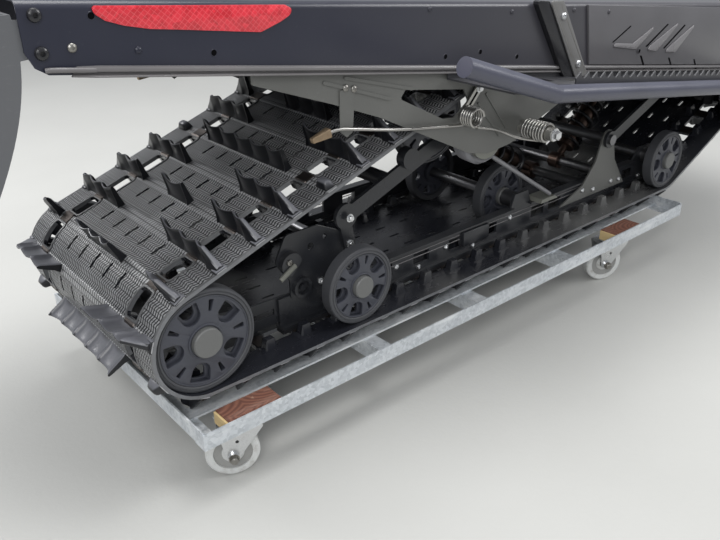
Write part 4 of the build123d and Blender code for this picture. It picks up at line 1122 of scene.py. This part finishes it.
# Fasteners, made once and copied
def hex_bolt():
    """A washer, a six-sided head and its chamfered top."""
    shape = bmesh.new()
    for sides, foot, top, depth, z in ((24, 9.5, 9.5, 1.6, 0.8), (6, 7.2, 7.2, 6.0, 4.6), (20, 5.8, 5.0, 0.8, 8.0)):
        bmesh.ops.create_cone(shape, cap_ends=True, segments=sides, radius1=foot, radius2=top, depth=depth,
                              matrix=Matrix.Translation((0, 0, z)))
    return smoothed(from_bmesh(shape, "hex_bolt"), 30.0)


def socket_screw():
    """A button head with a six-sided recess."""
    radius = 8.0
    turns = circle_steps(24)
    sixth = math.pi / 3
    hexagon = [0.40 * math.cos(sixth / 2) / math.cos(a % sixth - sixth / 2) for a in turns]
    rings = [([share] * len(turns), z) for share, z in ((1.0, 0.0), (1.0, 1.2), (0.86, 3.4), (0.55, 4.9), (0.42, 5.0))]
    rings += [(hexagon, 4.9), (hexagon, 1.8)]
    sections = [[(*polar(radius * share, a), z) for share, a in zip(shares, turns)]
                for shares, z in rings]
    return lofted("socket_screw", sections, 30.0)


def rivet():
    """A low domed head with its dimple."""
    profile = [(0.0, 0.0), (5.5, 0.0), (5.335, 1.2), (3.96, 2.6), (1.87, 3.1), (1.65, 2.5), (0.0, 2.3)]
    return revolved(profile, "rivet", 20, 35.0)


def mirrored_spots(spots):
    """Spots on the right side as (x, z, y) and their mirror images, facing outward."""
    return [((x, side * y, z), (0.0, side, 0.0)) for x, z, y in spots for side in (RIGHT, LEFT)]


def fasteners():
    screw, bolt, pop = socket_screw(), hex_bolt(), rivet()
    # painted shade: the thin near-black discs stand in for small holes in the sheet, each ringed by a lip
    hole = revolved(rectangle(0.0, 3.9, 0.0, 0.25), "hole", 20)
    lip = revolved([(3.9, 0.0), (5.0, 0.0), (4.7, 0.4), (4.1, 0.5)], "hole_lip", 20)
    low, high = node_span("tunnel")
    rear, side = low.x + 18, high.y
    small = [(-109, 498, side), (44, 436, side), (475, 371, side), (561, 367, side), (661, 345, side),
             (1060, 302, side + PANEL + 3)]
    # Each piece and its slot, then its shapes with their look, size and spots (x, z and distance from the middle)
    table = {
        ("bumper_screws", "frame_black"): [
            (screw, "black_screw", 1.0, [(rear, 464.4, side), (rear, 505.4, side)])],
        ("painted_rivets", "tunnel_black"): [
            (pop, "tunnel_black", 0.8, [(436, 450, side), (638, 425, side), (821, 409, side), (-58, 453, side),
                                        (931, 395, side + PANEL)])],
        ("tunnel_rivets", "scratcher_steel"): [
            (pop, "dark_zinc", 1.0, [(-137, 466, side), (278, 350, 279.2), (262, 354, 279.2)])],
        ("link_bolts", "scratcher_steel"): [
            (bolt, "bright_zinc", 0.8, [(272, -13, 183), (324, 102, 205), (336, 44, 189)])],
        ("rail_bolts", "scratcher_steel"): [
            (screw, "bright_zinc", 0.8, [
                (460, -50, 179), (600, -50, 179), (805, -42, 179), (1060, -40, 191), (1180, -45, 191),
                (1105, -48, 191), (1215, -48, 191), (521, -70, 179.5), (684, -72, 179.5), (1328, -70, 179.5)])],
        ("stop_screws", "scratcher_steel"): [(screw, "dark_zinc", 0.75, [(197, 52, 195)])],
        ("brace_screws", "tunnel_black"): [
            (screw, "bright_zinc", 0.9, [(769, 405, side + 15), (831, 310, side + 15)])],
        ("sheet_holes", "tunnel_black"): [(hole, "hole_black", 1.0, small), (lip, "tunnel_black", 1.0, small)],
        ("scratcher_bolts", "scratcher_steel"): [
            (bolt, "bright_zinc", 0.75, [(560, 305, side + 3)]), (bolt, "bright_zinc", 1.25, [(695, 209, side + 74)])],
    }
    for (name, slot), rows in table.items():
        copies = [fastened(look, shape, mirrored_spots(spots), look, size) for shape, look, size, spots in rows]
        piece(name, copies, slot)
    for shape in (screw, bolt, pop, hole, lip):
        bpy.data.objects.remove(shape)


def small_bars():
    """The stops and folded edges of the rails, and the slots in the scratchers' straps; the folded edges are pale
    wires of painted highlight and the slots near-black painted shade.
    """
    box = finished(bevelled_box((648, -187, -64), (728, -171, -31), 1.4), "frame_black")
    pair("rail_boxes", [box], "frame_black")
    grip = [finished(bar((175, 26), (208, 45), 9.0 - 5.0 * step, -200.0 - step, -195.0), "seat_grey")
            for step in (0, 1)]
    pair("stop_bars", grip, "frame_black")
    # painted shade: a near-black bar stands in for the slot in each strap
    slot = finished(bar((556, 300), (532, 274), 4.5, -283.4, -282.6), "hole_black")
    pair("strap_slots", [slot], "scratcher_steel")
    # painted highlight: pale wires along the rails' folded edges
    fold_highlights = [wire("fold", [(start, -179.2, z), (end, -179.2, z)], 1.0, "edge_grey")
             for start, end in ((430, 642), (734, 1100)) for z in (-36, -46)]
    pair("rail_folds", fold_highlights, "frame_black")


# Sheet metal: rolled rails, footwell panels with their ridges, braces, and the reflectors' film
PANEL = 5.0
# the raised wedges, drawn in a paler copy of the panel's paint as a painted highlight
WEDGES = [[(958, 324), (968, 330), (1032, 321), (1135, 357), (1047, 307)],
          [(1092, 299), (1104, 308), (1232, 352), (1131, 292)],
          [(1167, 285), (1182, 294), (1300, 339), (1213, 278)]]
# thin strips drawn near-black as painted shade along the creases
CREASE_SHADOWS = [[(956, 333), (961, 332), (1020, 357), (1017, 359)],
           [(1087, 308), (1093, 306), (1170, 344), (1165, 346)],
           [(1161, 294), (1168, 293), (1244, 333), (1240, 336)],
           [(1070, 291), (1077, 290), (1100, 259), (1093, 259)],
           [(1190, 270), (1197, 269), (1220, 239), (1214, 239)],
           [(1308, 250), (1314, 249), (1336, 221), (1329, 221)]]
FILM = [(-108, 509), (-106, 500), (-94, 491), (-72, 483), (-40, 475.5), (0, 470), (117, 453), (150, 463),
        (166, 470), (170, 478), (158, 484)]


def rolled_rails():
    """A bead, a dark gap and a lip below it, along the tunnel's lower edge, with a rolled nose at the rear, all
    painted paler than the tunnel as a highlight.
    """
    low, high = node_span("tunnel_rails")
    face, proud, top = low.y + 9.0, low.y, 10.0
    outline = [(face, top), (proud + 4.0, top), (proud + 1.2, 9.0), (proud, 6.6), (proud + 0.8, 4.4),
               (proud + 3.0, 3.4), (proud + 6.0, 3.1), (proud + 6.0, 1.0), (proud + 1.6, 0.6), (proud, -0.6),
               (proud + 0.5, -2.0), (face, -2.0)]
    sections = []
    for start, flat in ((low.x, 0.55), (low.x + 26.0, 0.0), (high.x, 0.0)):
        section = []
        for y, rise in outline:
            x = start + (8.0 * (rise + 2.0) / 12.0 if start < high.x else 0.0)
            z = lip_z(x if flat and rise == top else start) + rise
            section.append((x, y + (face - y) * flat, z))
        sections.append(section)
    rail = finished(lofted("rail", sections, 40.0), "edge_grey")
    pair("rolled_rails", [rail], "tunnel_black", ["tunnel_rails"])
    spots = [(-172.0, 1.0, 5.0), (-166.0, 3.2, 6.0), (-154.0, 5.0, 6.4), (-138.0, 5.6, 6.4), (-116.0, 5.6, 6.4)]
    nose = wire("nose", [(x, face - out, lip_z(x) + rise) for x, out, rise in spots], 3.2, "edge_grey")
    pair("rail_noses", [nose], "tunnel_black")


def footwell_panels():
    """A flat panel on each side with three raised wedges, painted paler as highlights, and thin near-black strips of
    painted shade for the creases round them.
    """
    low, high = node_span("footwell_panels")
    back = high.x
    outline = [(885, lip_z(885) + 12), (low.x, high.z), (back, deck_z(back) - 12), (back, low.z)]
    shapes = [side_plate("panel", outline, low.y + 3.0 + PANEL / 2, PANEL, 0.8, "panel_grey")]
    shapes += [side_plate("ridge", rounded(corners, 3.0, 3), low.y + 1.5, 3.0, 1.4, "ridge_grey")
               for corners in WEDGES]
    shapes += [side_plate("crease", corners, low.y + 2.9, 0.6, 0.0, "hole_black") for corners in CREASE_SHADOWS]
    pair("footwell_sheets", shapes, "tunnel_black", ["footwell_panels"])


def braces():
    """A pale strip with raised rims on a black flange, from the tunnel down to each running board."""
    low, high = node_span("board_braces")
    foot = low.z + 0.5
    strip = [(727, 436), (767, 432), (high.x, foot), (high.x - 41, foot + 2)]
    flange = [(low.x, high.z), (728, 435), (high.x - 40, foot + 2), (high.x - 76, foot + 8)]
    shapes = [side_plate("strip", rounded(strip, 4.0, 2), low.y + 1.8, 3.0, 0.8, "brace_grey"),
              side_plate("flange", rounded(flange, 4.0, 2), -286.0, 12.0, 0.8, "black_screw")]
    for shift in (8.0, 31.0):
        ends = [(727 + shift, low.y + 0.9, 429), (high.x - 41 + shift, low.y + 0.9, foot + 8)]
        shapes.append(wire("rim", ends, 0.9, "dark_zinc", False))
    pair("brace_strips", shapes, "tunnel_black", ["board_braces"])


def reflectors():
    low, _ = node_span("reflectors")
    film = side_plate("film", rounded(FILM, 9.0, 3), low.y + 1.0, 2.0, 0.5, "reflective_film")
    pair("reflector_films", [film], "reflector_red", ["reflectors"])


# Casters: wheels with a pale tread and hub round a dark core, and bolts through the forks
CASTER_TURN = 25.0
FORK_HALF = 27.0
# The wheel's rings: look, steps round and profile
CASTER_RINGS = [
    ("worn_nylon", 64, [(33.0, -11.5), (43.0, -12.0), (46.0, -8.5), (46.0, 8.5), (43.0, 12.0), (33.0, 11.5)]),
    ("web_grey", 64, rectangle(19.0, 33.0, -8.6, 8.6)),
    ("worn_nylon", 48, [(11.0, -12.0), (17.0, -12.0), (19.0, -10.0), (19.0, 10.0), (17.0, 12.0), (11.0, 12.0)]),
    ("core_dark", 32, rectangle(5.05, 11.0, -14.0, 14.0)),
]


def casters():
    bolt = hex_bolt()
    for caster in CASTERS:
        low, high = node_span("caster_wheel_" + caster)
        middle = (low + high) / 2
        turn = math.radians(CASTER_TURN if caster.endswith("left") else -CASTER_TURN)
        shapes = [finished(revolved(profile, look, steps), look) for look, steps, profile in CASTER_RINGS]
        stand = Matrix.Translation(middle) @ Matrix.Rotation(turn, 4, "Z") @ OUTWARD
        roller = [moved(made, stand) for made in shapes]
        piece("caster_roller_" + caster, roller, "caster_tread", ["caster_wheel_" + caster], "wheel_" + caster)
        across = Vector((-math.sin(turn), math.cos(turn), 0.0))
        spots = [(tuple(middle + across * FORK_HALF * way), tuple(across * way)) for way in (-1, 1)]
        piece("caster_bolts_" + caster, [fastened("bolts", bolt, spots, "dark_zinc")], "caster_steel", (),
              "swivel_" + caster)
    bpy.data.objects.remove(bolt)
    low, high = node_span("dolly_blocks")
    strips = []
    for face in (low.x, high.x - 100.0):
        for side in (RIGHT, LEFT):
            inner, outer = sorted((side * 256.5, side * (high.y - 0.5)))
            strip = bevelled_box((face - 4.0, inner, low.z + 0.5), (face, outer, high.z - 1.5), 0.6)
            strips.append(finished(strip, "pale_wood"))
    piece("block_strips", strips, "block_wood")


# Springs
def torsion_springs():
    """A square coil with its long leg on each side."""
    high = node_span("torsion_springs")[1]
    centre_x, centre_z, _ = circles[1]
    thick, span = 9.5, 30.0
    inner_y = thick / 2 - high.y + span
    made = coil("torsion", 3.6, 50.0, span, thick, "spring_grey", True)
    moved(made, Matrix.Translation((centre_x, inner_y, centre_z)) @ OUTWARD)
    ends = [(centre_x + 30.0, inner_y + 4.0, centre_z - 42.0), (high.x - 4.0, -200.0, -8.0)]
    leg = wire("leg", ends, thick / 2, "spring_grey", False)
    pair("torsion_coils", [made, leg], "spring_black", ["torsion_springs"])


def shock_coils():
    """A round coil along each shock absorber, from its lower seat to its upper one."""
    shocks = []
    for foot, head in (((1105.0, -45.0), circles[1][:2]), ((1215.0, -45.0), (1490.0, 212.0))):
        start, finish = Vector((foot[0], 0, foot[1])), Vector((head[0], 0, head[1]))
        run = finish - start
        turn = run.to_track_quat("Z", "Y").to_matrix().to_4x4()
        made = coil("shock", 9, 30.0, run.length * 0.66, 9.0, "spring_black")
        shocks.append(moved(made, Matrix.Translation(start + run * 0.17) @ turn))
        for share in (0.16, 0.84):
            collar = revolved([(10, -3), (36, -3), (36, 1), (33, 3), (10, 3)], "spring_collar", 40)
            place = Matrix.Translation(start + run * share) @ turn
            shocks.append(moved(finished(collar, "frame_black"), place))
    piece("shock_coils", shocks, "spring_black", ["shock_springs"])


# Ice scratchers: a sprung wire with two coils and a hard tip on each side
SCRATCHER_Y = -288.0
SCRATCHER_WIRE = 5.6


def scratchers():
    tip_wire = [(214, 0, 295), (226, 0, 296), (240, 0, 297), (262, 0, 293), (361, 0, 271), (440, 0, 260),
                (505, 0, 250), (523, 0, 249)]
    link = [(523, -27, 249), (560, -28, 240), (607, -14, 222), (650, -20, 200), (695, -30, 190)]
    shapes = [wire("wire", [(x, SCRATCHER_Y + y, z) for x, y, z in points], SCRATCHER_WIRE / 2, "scratcher_steel")
              for points in (tip_wire, link)]
    for x, z, turns, length, radius in ((523.0, 265.0, 5, 27.0, 16.0), (695.0, 209.0, 8, 52.0, 17.0)):
        made = coil("coil", turns, radius, length, SCRATCHER_WIRE, "scratcher_steel")
        shapes.append(moved(made, Matrix.Translation((x, SCRATCHER_Y, z)) @ OUTWARD))

    def put(x, y, z):
        """A block 34 long, its nose narrower and lower than its root."""
        return (x * 34.0, y * 9.0, z * 8.0 - 2.0) if x < 0 else (x * 34.0, y * 14.0, z * 14.0)

    tip = finished(bevelled("tip", put, 1.6, 30.0), "hard_tip")
    moved(tip, Matrix.Translation((204, SCRATCHER_Y, 294)) @ Matrix.Rotation(math.radians(-8), 4, "Y"))
    pair("scratcher_wires", shapes + [tip], "scratcher_steel", ["scratchers"])


for build in (track, wheels, fasteners, small_bars, torsion_springs, shock_coils, scratchers, rolled_rails,
              footwell_panels, braces, reflectors, casters):
    build()


# Floor, light and camera; lamps have a name, place, width and power, in metres and watts
LAMPS = [
    ("overhead", (-0.2, -0.2, 3.4), 2.2, 110.0),
    ("side", (-3.0, -2.8, 2.6), 1.8, 75.0),
    ("front", (3.0, -2.4, 2.6), 1.6, 65.0),
    ("behind", (-1.8, 2.4, 2.4), 1.4, 60.0),
]
LIT_PLACE = Vector((0, 0, 0.3))
CAMERA_PLACE = (-457.8, -1168.0, 625.1)
CAMERA_YAW, CAMERA_PITCH, CAMERA_ROLL = 39.831, 26.796, -1.026
FOCAL_PIXELS, FRAME_WIDTH, SENSOR = 760.6, 720.0, 36.0


def stage():
    bpy.ops.mesh.primitive_plane_add(size=40.0)
    floor = bpy.context.active_object
    floor.name = "floor"
    floor.data.materials.append(LOOKS["floor_grey"])
    world = bpy.data.worlds.new("studio")
    world.use_nodes = True
    background = world.node_tree.nodes["Background"].inputs
    background["Color"].default_value = (0.92, 0.95, 1.0, 1.0)
    background["Strength"].default_value = 0.45
    bpy.context.scene.world = world
    for name, place, size, power in LAMPS:
        light = bpy.data.lights.new(name, "AREA")
        light.size = size
        light.energy = power
        lamp = in_scene(name, light)
        lamp.location = place
        lamp.rotation_euler = (LIT_PLACE - Vector(place)).to_track_quat("-Z", "Y").to_euler()


def camera():
    yaw, pitch, roll = (math.radians(a) for a in (CAMERA_YAW, CAMERA_PITCH, CAMERA_ROLL))
    ahead = Vector((math.sin(yaw) * math.cos(pitch), math.cos(yaw) * math.cos(pitch), -math.sin(pitch)))
    level = Vector((math.cos(yaw), -math.sin(yaw), 0.0))
    upright = level.cross(ahead)
    across = level * math.cos(roll) + upright * math.sin(roll)
    up = upright * math.cos(roll) - level * math.sin(roll)
    lens = bpy.data.cameras.new("camera")
    lens.sensor_width = SENSOR
    lens.lens = FOCAL_PIXELS / FRAME_WIDTH * SENSOR
    lens.clip_start = 0.01
    made = in_scene("camera", lens)
    turn = Matrix((across, up, -ahead)).transposed().to_4x4()
    made.matrix_world = Matrix.Translation(AXLE + Vector(CAMERA_PLACE) * MM) @ turn
    bpy.context.scene.camera = made


stage()
camera()
bpy.context.scene.view_settings.view_transform = "Standard"
